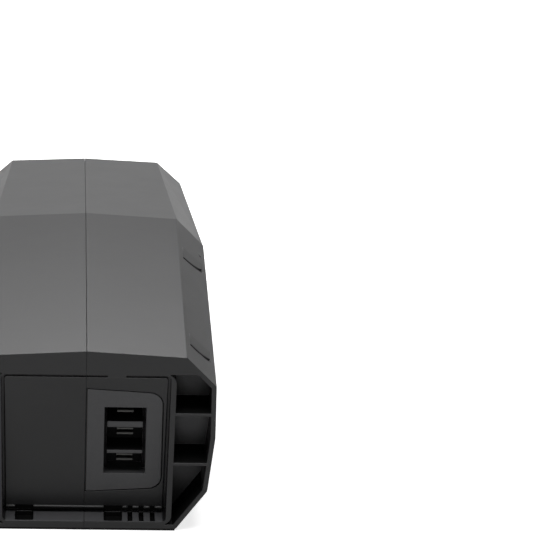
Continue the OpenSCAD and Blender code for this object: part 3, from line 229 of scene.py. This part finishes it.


# Spark-eroded polycarbonate and ABS: a satin, very fine grain, drawn a little coarser than its
# 0.2 mm so that it shows. The edges are worn a touch smoother by handling, and painted a touch
# paler as a highlight.
housing_plastic = finished(
    "spark_textured_abs", "#1D1D1E", "#212122", (0.35, 0.39), grain=0.5, relief=0.02, IOR=1.46)
housing_edge_wear_and_highlight = finished(
    "abs_edge_worn_and_painted_highlight", "#1F1F20", "#252526", (0.33, 0.39), grain=0.8, relief=0.01, IOR=1.46)
# Painted shade: the narrow cuts, the wing pockets' floors and the lowest edge are painted near black
# and left rough and dull, for the shade that falls in them.
painted_shade_abs = finished(
    "abs_painted_shade_in_cuts", "#080808", "#0D0D0D", (0.7, 0.8), grain=0.6, relief=0.03, IOR=1.46,
    **{"Specular IOR Level": 0.12})
# Painted light: the top of the ledge is painted paler, for the light that falls on it from above.
ledge_painted_light = finished(
    "abs_ledge_painted_light", "#454547", "#4D4D4F", (0.48, 0.56), grain=0.5, relief=0.02, mottle=9.0,
    IOR=1.46)


def painted_shade_by_walls(material, place, tone):
    """Painted shade: the painted pale back of a pocket fades to black towards the walls round it."""
    wall_reach = 12 * mm
    black_openness = 0.36
    pale_openness = 0.66
    openness = add_node(
        material, "ShaderNodeAmbientOcclusion", {"samples": 16},
        {"Distance": wall_reach}).outputs["AO"]
    share = add_node(
        material, "ShaderNodeMapRange", {},
        {"From Min": black_openness, "From Max": pale_openness},
        {"Value": openness}).outputs["Result"]
    return add_node(
        material, "ShaderNodeMix", {"data_type": "RGBA"}, {"A": linear("#080808")},
        {"Factor": share, "B": tone}).outputs["Result"]


# Painted light and shade: the backs of the pockets are painted pale, for the light that reaches
# them, and fade to black towards their walls.
pocket_back_painted_light_and_shade = finished(
    "abs_pocket_back_painted_light_and_shade", "#68686A", "#707072", (0.5, 0.58), grain=0.5, relief=0.02, mottle=9.0,
    base=painted_shade_by_walls, IOR=1.46)


def in_narrow_cut(middle, direction):
    """Whether a face is painted as shade: in a ledge cut, under the bead or on a wing pocket's floor."""
    recess_front = -184.8
    recess_back = -161
    cuts_half_width = 37
    cuts_floor = 1.5
    cuts_ceiling = 4.0
    bead_half_width = 37.5
    bead_slot_floor = 4.4
    bead_slot_ceiling = 7.7
    pockets_ceiling = 75
    upward = 0.5
    across = abs(middle.x)
    in_recess = recess_front < middle.y < recess_back
    in_ledge = across < cuts_half_width and cuts_floor < middle.z < cuts_ceiling
    in_slot = across < bead_half_width and bead_slot_floor < middle.z < bead_slot_ceiling
    under_bead = in_slot and middle.y > panel_foot
    in_pocket = across > pocket_inner_side and middle.z < pockets_ceiling
    return in_recess and (in_ledge or under_bead or (in_pocket and direction.z > upward))


def at_foot(middle, direction):
    """Whether a face gets a painted shadow: the lowest edge, which the foam pad lifts just off the table."""
    foot_height = 1.0
    upward = 0.1
    return middle.z < foot_height and direction.z < upward


def on_ledge(middle, direction):
    """Whether a face is part of the ledge's top, which is painted paler."""
    ledge_half_width = 38
    ledge_low = 4.2
    ledge_high = 4.5
    upward = 0.9
    at_level = abs(middle.x) < ledge_half_width and ledge_low < middle.z < ledge_high
    return at_level and middle.y < panel_foot and direction.z > upward


def at_pocket_back(middle, direction):
    """Whether a face closes a wing pocket at its back, where light and shade are painted."""
    back_near = -162
    back_far = -158
    outward = -0.7
    at_back = back_near < middle.y < back_far and direction.y < outward
    return at_back and abs(middle.x) > pocket_inner_side


# Painted shade in the cuts and at the lowest edge; painted light on the ledge and the pockets' backs.
for side in ("left", "right"):
    rounded_copy(
        side + "_shell", side + "_housing", housing_edge_radius, housing_plastic, housing_edge_wear_and_highlight,
        "housing", fold_radius=housing_fold_radius,
        zones=((painted_shade_abs, in_narrow_cut), (painted_shade_abs, at_foot), (ledge_painted_light, on_ledge),
               (pocket_back_painted_light_and_shade, at_pocket_back)))


# Case joint. A cord of silicone rubber lies in the groove between the two lips, and six
# zinc-plated steel screws with hexagonal keys pull the halves onto it.
# Silicone rubber: charcoal and dull, with hardly any grain.
silicone = finished(
    "silicone_seal", "#2B2B2D", "#323234", (0.55, 0.65), grain=0.4, relief=0.01, IOR=1.42)
dress(silicone, "seam_gasket")
# Zinc plating on turned steel: pale, slightly blue, with the fine rings of the lathe.
zinc_steel = finished(
    "zinc_plated_steel", "#A9ACB0", "#BDBFC3", (0.26, 0.38), grain=0.3, relief=0.01, mottle=4.0,
    Metallic=1.0)
dress(zinc_steel, "case_screws", "retainer_screws", "board_screws", "gauge_screws")


# Foam pad. A die-cut sheet of closed-cell polyethylene foam, stuck along the flat back so that the
# battery doesn't rattle in its cradle. It reaches nearly to the shells' side edges, and the die
# leaves its cut edge slightly rounded.
pad_fold_place = 34 * mm
pad_far_half = 35.4 * mm
pad_edge = 0.1 * mm
pad_reach = 1.1 * mm
pad_levels = 4
# Polyethylene foam: black and dead matt, with cut cells a little under a millimetre wide.
foam = finished(
    "closed_cell_foam", "#0E0E0F", "#151516", (0.86, 0.94), grain=0.7, relief=0.06, mottle=9.0,
    IOR=1.4)
pad_low, pad_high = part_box("back_pad")
pad_low[0] -= pad_reach
pad_high[0] += pad_reach
pad_outline = [
    (pad_low[0], pad_low[1]), (pad_high[0], pad_low[1]), (pad_high[0], pad_fold_place),
    (pad_far_half, pad_high[1]), (-pad_far_half, pad_high[1]), (pad_low[0], pad_fold_place)]
edit = bmesh.new()
rings = []
for level in range(pad_levels + 1):
    share = level / pad_levels
    inset = pad_edge * (1 - math.sin(math.pi * share))
    height = pad_low[2] + (pad_high[2] - pad_low[2]) * share
    near_end = pad_low[1] + inset
    far_end = pad_high[1] - inset
    rings.append([
        edit.verts.new((x - math.copysign(inset, x), min(max(y, near_end), far_end), height))
        for x, y in pad_outline])
for below, above in zip(rings, rings[1:]):
    for i in range(len(pad_outline)):
        j = (i + 1) % len(pad_outline)
        edit.faces.new((below[i], below[j], above[j], above[i])).smooth = True
edit.faces.new(rings[0][::-1])
edit.faces.new(rings[-1])
pad_mesh = bpy.data.meshes.new("foam_pad")
edit.to_mesh(pad_mesh)
edit.free()
pad_mesh.materials.append(foam)
foam_pad = bpy.data.objects.new("foam_pad", pad_mesh)
bpy.context.scene.collection.objects.link(foam_pad)
stands_for(foam_pad, "back_pad", "housing")


# Docking socket. One moulding of glass-filled PBT, greyer than the case and let in flush with its
# panel, and behind the panel a steel plate that slides into its side grooves and is held by two
# screws.
socket_edge_radius = 0.4 * mm
# Glass fibres near the skin leave it matt, with short pale streaks about a millimetre long.
glass_filled = finished(
    "glass_filled_pbt", "#3D3D3F", "#464647", (0.48, 0.58), grain=0.7, relief=0.02, mottle=3.0,
    run=(1, 1, 2.5), IOR=1.5)
# Painted shade: deep in the chambers the same moulding is painted near black and dull.
glass_filled_painted_shade = finished(
    "glass_filled_pbt_painted_shade_in_chambers", "#0A0A0A", "#0F0F10", (0.7, 0.8), grain=0.7, relief=0.02,
    mottle=3.0, IOR=1.5, **{"Specular IOR Level": 0.2})


def in_chamber(middle, direction):
    """Whether a face gets painted shade: it lies well behind the flange, whose plane leans out as it rises.

    The side walls and the lowest floor, which the light still reaches, are left out.
    """
    flange_foot = -174.2
    flange_foot_height = 6.5
    lean = 0.173
    depth = 3.0
    lowest_floor = 25.5
    steep = 0.7
    flange = flange_foot - lean * (middle.z - flange_foot_height)
    on_lowest_floor = direction.z > steep and middle.z < lowest_floor
    lit = abs(direction.x) > steep or on_lowest_floor
    return middle.y > flange + depth and not lit


rounded_copy("socket_housing", "docking_socket", socket_edge_radius, glass_filled, glass_filled,
             "housing", zones=[(glass_filled_painted_shade, in_chamber)])
# Cold-rolled steel strip under zinc, with the mill's long fine lines.
rolled_steel = finished(
    "rolled_zinc_steel", "#A4A7AB", "#B7BABD", (0.3, 0.4), grain=0.3, relief=0.01, mottle=7.0,
    run=(1, 1, 20), Metallic=1.0)
dress(rolled_steel, "socket_retainer")


# Fork contacts. Two leaves of phosphor bronze strip, folded to one tail and tinned after stamping.
# Their tips are rolled open, to take the blades of the cradle.
fork_edge_radius = 0.08 * mm
# Electroplated tin: a dull grey bloom over the metal, rubbed in fine lines along the leaf. Its tone
# is painted darker still, for the shade that the forks lie in.
tinned_bronze = finished(
    "matt_tinned_bronze_painted_darker", "#555554", "#636361", (0.55, 0.65), grain=0.25, relief=0.01, mottle=3.0,
    run=(1, 12, 1), Metallic=1.0)
for pole in ("positive", "signal", "negative"):
    rounded_copy(pole + "_fork", pole + "_contact", fork_edge_radius, tinned_bronze, tinned_bronze,
                 "housing")


# Cell pack. Thirty-nine round cells in three rows, gripped by two moulded holders, welded together
# with nickel strips, covered at both ends with insulating paper and wedged in the case with foam.
# Flame-retardant ABS for the holders: plain black, with the low gloss of an untextured tool.
holder_abs = finished(
    "flame_retardant_abs", "#17171A", "#1D1D20", (0.36, 0.44), grain=1.2, relief=0.01, IOR=1.54)
dress(holder_abs, "left_cell_holder", "right_cell_holder")


def steel_ends(material, place, wrap_tone):
    """The bare nickel-plated steel of the cells' ends, past the edge of the shrunk sleeve."""
    sleeve_end = 34.2 * mm
    across = add_node(material, "ShaderNodeSeparateXYZ", {}, {}, {0: place}).outputs["X"]
    reach = add_node(
        material, "ShaderNodeMath", {"operation": "ABSOLUTE"}, {}, {0: across}).outputs["Value"]
    bare = add_node(
        material, "ShaderNodeMath", {"operation": "GREATER_THAN"}, {1: sleeve_end},
        {0: reach}).outputs["Value"]
    return add_node(
        material, "ShaderNodeMix", {"data_type": "RGBA"}, {"B": linear("#9C9B96")},
        {"Factor": bare, "A": wrap_tone}).outputs["Result"]


# Shrunk PVC sleeve: smooth, with the faint long creases of the shrinking.
cell_wrap = finished(
    "shrunk_pvc_sleeve", "#2F6C86", "#377A95", (0.2, 0.28), grain=0.8, relief=0.02, mottle=8.0,
    run=(14, 1, 1), base=steel_ends, IOR=1.53)
dress(cell_wrap, "top_row_cells", "middle_row_cells", "bottom_row_cells")
# Pure nickel strip: warm pale metal with lengthwise rolling lines.
nickel_strip = finished(
    "rolled_nickel_strip", "#B3AEA3", "#C4BFB3", (0.24, 0.34), grain=0.3, relief=0.01, mottle=6.0,
    run=(1, 18, 1), Metallic=1.0)
dress(nickel_strip, "left_busbars", "right_busbars")
# Vulcanised fibre paper: dry and slightly felted, with fibres a few millimetres long.
fibre_paper = finished(
    "vulcanised_fibre_paper", "#A8936B", "#B8A47C", (0.78, 0.88), grain=0.6, relief=0.03,
    mottle=5.0, run=(1, 3, 3), IOR=1.5)
dress(fibre_paper, "left_insulation", "right_insulation")
dress(foam, "upper_foam", "lower_foam")


# Management board. A glass-epoxy board with its power transistors under a ribbed aluminium bar,
# screwed to the posts of a moulded tray beside the pack, and joined to the cells by a flat ribbon
# over the holders.
dress(holder_abs, "board_tray")


def copper_tracks(material, place, mask_tone):
    """Copper tracks under the solder mask, a lighter green about a millimetre and a half apart."""
    track_pitch = 1.5 * mm
    track_share = 0.55
    track_length = 8 * track_pitch
    across_board = add_node(
        material, "ShaderNodeMapping", {},
        {"Rotation": (0, math.radians(90), math.radians(90))}, {"Vector": place}).outputs["Vector"]
    tracks = add_node(
        material, "ShaderNodeTexBrick", {"offset": 0.5},
        {"Scale": 1.0, "Mortar Size": track_pitch * (1 - track_share) / 2,
         "Brick Width": track_length, "Row Height": track_pitch,
         "Color1": linear("#24603A"), "Color2": linear("#1F5433"), "Mortar": linear("#174227")},
        {"Vector": across_board}).outputs["Color"]
    return add_node(
        material, "ShaderNodeMix", {"data_type": "RGBA"}, {"Factor": 0.6},
        {"A": mask_tone, "B": tracks}).outputs["Result"]


# Green solder mask over glass cloth: glossy, with a weave too fine to see at arm's length.
solder_mask = finished(
    "solder_masked_board", "#1A4A2C", "#205434", (0.2, 0.28), grain=0.5, relief=0.01, mottle=12.0,
    base=copper_tracks, IOR=1.55)
dress(solder_mask, "management_board", "gauge_board")
# Transfer-moulded epoxy: flat near-black with a faint sandy skin.
mould_compound = finished(
    "epoxy_mould_compound", "#18181A", "#202022", (0.5, 0.6), grain=0.3, relief=0.01, mottle=6.0,
    IOR=1.55)
dress(mould_compound, "power_transistors", "switch_body")
# Natural nylon: creamy, with a soft gloss.
nylon = finished(
    "natural_nylon", "#CFC5AC", "#DAD1BA", (0.34, 0.42), grain=0.8, relief=0.01, mottle=5.0,
    IOR=1.53)
dress(nylon, "board_connectors", "switch_plunger")
# Extruded aluminium, left as it came from the die: bright, with straight die lines.
extruded_aluminium = finished(
    "extruded_aluminium", "#A6A8AB", "#B9BBBE", (0.28, 0.4), grain=0.25, relief=0.01, mottle=9.0,
    run=(1, 30, 1), Metallic=1.0)
dress(extruded_aluminium, "heat_spreader")


def ribbon_groove_shade(material, place, jacket_tone):
    """Painted shade: dark lines between the ridges over the ribbon's parallel wires, 1.27 mm apart.

    Blender's wave turns once in pi tenths of a unit at a scale of one.
    """
    core_pitch = 1.27 * mm
    wave_scale = math.pi / 10 / core_pitch
    groove_shade = add_node(
        material, "ShaderNodeTexWave", {"bands_direction": "Y"}, {"Scale": wave_scale},
        {"Vector": place}).outputs["Fac"]
    return add_node(
        material, "ShaderNodeMix", {"data_type": "RGBA"}, {"A": linear("#5E6063")},
        {"Factor": groove_shade, "B": jacket_tone}).outputs["Result"]


# Soft PVC, extruded: an even satin skin.
ribbon_pvc = finished(
    "ribbon_pvc", "#8E9093", "#9A9C9F", (0.4, 0.48), grain=0.8, relief=0.01, mottle=10.0,
    base=ribbon_groove_shade, IOR=1.53)
dress(ribbon_pvc, "sense_ribbon")


# Leads. Stranded copper in extruded silicone or PVC: the socket's three run to the board's edge,
# the charge port's two cross over the pack, and a thin one serves the gauge. They are held by the
# case all the way.
def lead_colours(material, place, thick_tone):
    """Red above, white in the middle and black below, parted by two planes that no lead crosses."""
    red_floor = 50.7 * mm
    black_ceiling = 39.3 * mm
    black_ceiling_rise = 0.105
    ceiling_start = -152 * mm
    where = add_node(material, "ShaderNodeSeparateXYZ", {}, {}, {0: place}).outputs
    red = add_node(
        material, "ShaderNodeMath", {"operation": "GREATER_THAN"}, {1: red_floor},
        {0: where["Z"]}).outputs["Value"]
    ceiling = add_node(
        material, "ShaderNodeMath", {"operation": "MULTIPLY_ADD"},
        {1: black_ceiling_rise, 2: black_ceiling - black_ceiling_rise * ceiling_start},
        {0: where["Y"]}).outputs["Value"]
    black = add_node(
        material, "ShaderNodeMath", {"operation": "LESS_THAN"}, {},
        {0: where["Z"], 1: ceiling}).outputs["Value"]
    pale_or_red = add_node(
        material, "ShaderNodeMix", {"data_type": "RGBA"}, {"A": linear("#C9C9C6")},
        {"Factor": red, "B": thick_tone}).outputs["Result"]
    return add_node(
        material, "ShaderNodeMix", {"data_type": "RGBA"}, {"B": linear("#1B1B1C")},
        {"Factor": black, "A": pale_or_red}).outputs["Result"]


# Silicone sheath: soft, satin, and slightly dusty to the eye.
silicone_sheath = finished(
    "silicone_sheath", "#A3201D", "#B02723", (0.46, 0.56), grain=0.6, relief=0.01, mottle=12.0,
    base=lead_colours, IOR=1.42)
dress(silicone_sheath, "socket_leads")
# PVC sheaths: an even satin skin, red on the charge leads and grey on the gauge's.
pvc_sheath = finished(
    "pvc_sheath", "#8E1D1B", "#9C2421", (0.34, 0.42), grain=0.8, relief=0.01, mottle=12.0,
    IOR=1.53)
dress(pvc_sheath, "charge_leads")
gauge_sheath = finished(
    "grey_pvc_sheath", "#7C7E80", "#888A8C", (0.34, 0.42), grain=0.8, relief=0.01, mottle=12.0,
    IOR=1.53)
dress(gauge_sheath, "gauge_lead")


# Fuse. A blade fuse with a body of tinted polycarbonate, pushed into a moulded holder of
# flame-retardant ABS on the cell pack.
dress(holder_abs, "fuse_holder")
# Tinted polycarbonate: polished, and green for thirty amperes.
tinted_polycarbonate = finished(
    "tinted_polycarbonate", "#3E9A4C", "#49A757", (0.08, 0.14), grain=1.0, relief=0.005,
    mottle=9.0, IOR=1.585)
dress(tinted_polycarbonate, "blade_fuse")


# Lock end. A turned steel bush takes the bolt of the cradle's lock, and beside it a rubber plug
# lets gas out.
bush_edge_radius = 0.3 * mm
# Turned and nickel-plated steel: rings of the lathe round the bore.
turned_steel = finished(
    "turned_nickel_plated_steel", "#A8A59E", "#B9B6AF", (0.2, 0.3), grain=0.25, relief=0.01,
    mottle=5.0, run=(6, 1, 6), Metallic=1.0)
rounded_copy("strike_bush", "lock_strike_bush", bush_edge_radius, turned_steel, turned_steel,
             "housing")
# EPDM rubber: dead matt, with a trace of moulding bloom.
epdm = finished(
    "epdm_rubber", "#1F1F20", "#272728", (0.66, 0.76), grain=0.5, relief=0.02, mottle=4.0, IOR=1.5)
rounded_copy("vent_plug", "vent_cap", bush_edge_radius, epdm, epdm, "housing")


# Charge port. A threaded coaxial socket with a nut behind the flank, under a swinging cover of
# elastomer that snaps into it with a short plug and turns on a steel pin.
cover_edge_radius = 0.3 * mm
# Nylon with glass: black and slightly streaky.
port_nylon = finished(
    "glass_filled_nylon", "#151516", "#1C1C1D", (0.4, 0.5), grain=0.6, relief=0.02, mottle=5.0,
    IOR=1.53)
dress(port_nylon, "charge_socket")
dress(turned_steel, "charge_pin", "charge_nut", "charge_hinge_pin")
# Thermoplastic elastomer: softer and duller than the case round it, and paler at rubbed edges.
elastomer = finished(
    "thermoplastic_elastomer", "#1D1D1E", "#242425", (0.58, 0.68), grain=0.5, relief=0.02,
    mottle=7.0, IOR=1.5)
elastomer_edge = finished(
    "elastomer_edge", "#272728", "#2D2D2E", (0.5, 0.58), grain=0.5, relief=0.01, mottle=7.0,
    IOR=1.5)
rounded_copy("charge_cover", "port_cover", cover_edge_radius, elastomer, elastomer_edge,
             "cover")


# Gauge. Five white lights on a small board behind a light bar of smoked polycarbonate, which is
# pushed into the flank from inside and held by its own flange.
lens_edge_radius = 0.2 * mm
# Smoked polycarbonate: polished and deep grey, so that unlit lights hardly show through it.
smoked_polycarbonate = finished(
    "smoked_polycarbonate", "#2C2D30", "#303134", (0.06, 0.1), grain=2.0, relief=0.004,
    mottle=15.0, IOR=1.585, **{"Transmission Weight": 0.35})
rounded_copy("gauge_lens", "light_bar", lens_edge_radius, smoked_polycarbonate,
             smoked_polycarbonate, "housing")
# White epoxy bodies round a yellowish phosphor.
light_epoxy = finished(
    "phosphor_white_epoxy", "#DDD9B8", "#E6E3C8", (0.3, 0.4), grain=0.4, relief=0.01, mottle=1.5,
    IOR=1.54)
dress(light_epoxy, "gauge_lights")


# Power button. A dished key of thermoplastic elastomer with a flange behind the flank. Its sign, a
# broken ring and a bar, is moulded a tenth of a millimetre proud in a paler grade.
button_edge_radius = 0.35 * mm
dish_radius = 16.2 * mm
dish_depth = 0.3 * mm
sign_radius = 2.3 * mm
sign_gap = math.radians(35)
sign_width = 0.5 * mm
sign_height = 0.1 * mm
sign_steps = 36
bar_low = 0.7 * mm
bar_high = 2.9 * mm
rounded_copy("power_button", "power_key", button_edge_radius, elastomer, elastomer_edge,
             "button")
# The sign's paler grade: mid grey and as matt as the key.
pale_elastomer = finished(
    "pale_elastomer", "#8F9092", "#9A9B9D", (0.56, 0.64), grain=0.5, relief=0.01, mottle=3.0,
    IOR=1.5)
button_low, button_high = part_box("power_button")
button_middle = [(low + high) / 2 for low, high in zip(button_low, button_high)]


def on_dish(along, up, lift):
    """A point over the dish, by its distances from the middle along the battery and upwards."""
    floor_place = button_low[0] + dish_depth - (along * along + up * up) / (2 * dish_radius)
    return floor_place - lift, button_middle[1] + along, button_middle[2] + up


def raised_line(edit, points):
    """A low rounded ridge over the dish along a line of points."""
    section = (
        (-sign_width / 2, -sign_height), (-sign_width / 3, sign_height),
        (sign_width / 3, sign_height), (sign_width / 2, -sign_height))
    rows = []
    for i, (along, up) in enumerate(points):
        before = points[max(i - 1, 0)]
        after = points[min(i + 1, len(points) - 1)]
        length = math.hypot(after[0] - before[0], after[1] - before[1])
        side = (-(after[1] - before[1]) / length, (after[0] - before[0]) / length)
        rows.append([
            edit.verts.new(on_dish(along + side[0] * offset, up + side[1] * offset, lift))
            for offset, lift in section])
    for row, following in zip(rows, rows[1:]):
        for k in range(len(row)):
            next_k = (k + 1) % len(row)
            edit.faces.new((row[k], following[k], following[next_k], row[next_k]))
    edit.faces.new(rows[0])
    edit.faces.new(rows[-1][::-1])


edit = bmesh.new()
sign_start = math.pi / 2 + sign_gap
sign_sweep = 2 * math.pi - 2 * sign_gap
angles = [sign_start + sign_sweep * i / sign_steps for i in range(sign_steps + 1)]
broken_ring = [(sign_radius * math.cos(angle), sign_radius * math.sin(angle)) for angle in angles]
raised_line(edit, broken_ring)
raised_line(edit, [(0, bar_low), (0, (bar_low + bar_high) / 2), (0, bar_high)])
bmesh.ops.recalc_face_normals(edit, faces=edit.faces)
sign_mesh = bpy.data.meshes.new("power_sign")
edit.to_mesh(sign_mesh)
edit.free()
sign_mesh.materials.append(pale_elastomer)
power_sign = bpy.data.objects.new("power_sign", sign_mesh)
bpy.context.scene.collection.objects.link(power_sign)
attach(power_sign, "button")


# Floor and room. The battery stands on a seamless white sweep in a dim room. The camera sees both
# white, with the shadow by the battery. Reflections see little more than the lit paper, or the
# dark case would turn pale wherever it is seen at a glancing angle.
floor_size = 6.0
floor_drop = 0.01 * mm
floor_glow = 0.7
floor_in_reflections = 0.03
room_strength = 0.04
room_in_reflections = 0.1


def share_of_white(owner, share_in_reflections):
    """How white the floor or the room looks: all to the camera and through glass, else a share."""
    rays = add_node(owner, "ShaderNodeLightPath").outputs
    in_reflections = add_node(
        owner, "ShaderNodeMath", {"operation": "MULTIPLY"}, {1: share_in_reflections},
        {0: rays["Is Glossy Ray"]}).outputs["Value"]
    seen = add_node(
        owner, "ShaderNodeMath", {"operation": "MAXIMUM"}, {},
        {0: rays["Is Camera Ray"], 1: in_reflections}).outputs["Value"]
    return add_node(
        owner, "ShaderNodeMath", {"operation": "MAXIMUM"}, {},
        {0: seen, 1: rays["Is Transmission Ray"]}).outputs["Value"]


floor_data = bpy.data.meshes.new("floor")
edit = bmesh.new()
bmesh.ops.create_grid(edit, x_segments=1, y_segments=1, size=floor_size / 2)
edit.to_mesh(floor_data)
edit.free()
floor = bpy.data.objects.new("floor", floor_data)
bpy.context.scene.collection.objects.link(floor)
floor.location.z = -floor_drop
floor_paper = new_material("white_paper_sweep")
paper = add_node(
    floor_paper, "ShaderNodeBsdfDiffuse", {}, {"Color": linear("#E1E1E1")}).outputs["BSDF"]
glow = add_node(
    floor_paper, "ShaderNodeEmission", {},
    {"Color": linear("#FFFFFF"), "Strength": floor_glow}).outputs["Emission"]
glowing_paper = add_node(
    floor_paper, "ShaderNodeAddShader", {}, {}, {0: paper, 1: glow}).outputs["Shader"]
floor_look = add_node(
    floor_paper, "ShaderNodeMixShader", {}, {},
    {"Fac": share_of_white(floor_paper, floor_in_reflections), 1: paper,
     2: glowing_paper}).outputs["Shader"]
add_node(floor_paper, "ShaderNodeOutputMaterial", {}, {}, {"Surface": floor_look})
floor_data.materials.append(floor_paper)

world = bpy.data.worlds.new("studio")
world.use_nodes = True
world.node_tree.nodes.clear()
bpy.context.scene.world = world
room = add_node(
    world, "ShaderNodeBackground", {},
    {"Color": linear("#FFFFFF"), "Strength": room_strength}).outputs["Background"]
white = add_node(
    world, "ShaderNodeBackground", {},
    {"Color": linear("#FFFFFF"), "Strength": 1.0}).outputs["Background"]
room_look = add_node(
    world, "ShaderNodeMixShader", {}, {},
    {"Fac": share_of_white(world, room_in_reflections), 1: room, 2: white}).outputs["Shader"]
add_node(world, "ShaderNodeOutputWorld", {}, {}, {"Surface": room_look})


# Lamps. Softboxes over the docking end and beside both flanks light the battery evenly. One lights
# the sweep behind it, which the roof mirrors towards the camera. A low one behind brightens the
# far shoulders, and a low one in front the panel.
def softbox(name, place, target, width, height, power):
    """A rectangular area lamp that faces a point of the object."""
    lamp = bpy.data.lights.new(name, "AREA")
    lamp.shape = "RECTANGLE"
    lamp.size = width
    lamp.size_y = height
    lamp.energy = power
    lamp_object = bpy.data.objects.new(name, lamp)
    bpy.context.scene.collection.objects.link(lamp_object)
    lamp_object.location = place
    facing = Vector(target) - Vector(place)
    lamp_object.rotation_euler = facing.to_track_quat("-Z", "Y").to_euler()


softbox("near_end_softbox", (0, -0.45, 1.0), (0, -0.15, 0.04), 0.8, 0.5, 6.7)
softbox("right_softbox", (1.2, 0.1, 0.7), (0, 0, 0.05), 0.6, 0.9, 3.9)
softbox("left_softbox", (-1.2, 0.1, 0.7), (0, 0, 0.05), 0.6, 0.9, 3.9)
softbox("far_floor_softbox", (0, 0.6, 0.7), (0, 0.6, 0), 0.6, 0.3, 7.9)
softbox("low_back_softbox", (0, 1.7, 0.22), (0, 0.1, 0.05), 1.4, 0.2, 1.3)
softbox("low_front_softbox", (0, -1.6, 0.2), (0, -0.18, 0.04), 1.4, 0.25, 2.6)
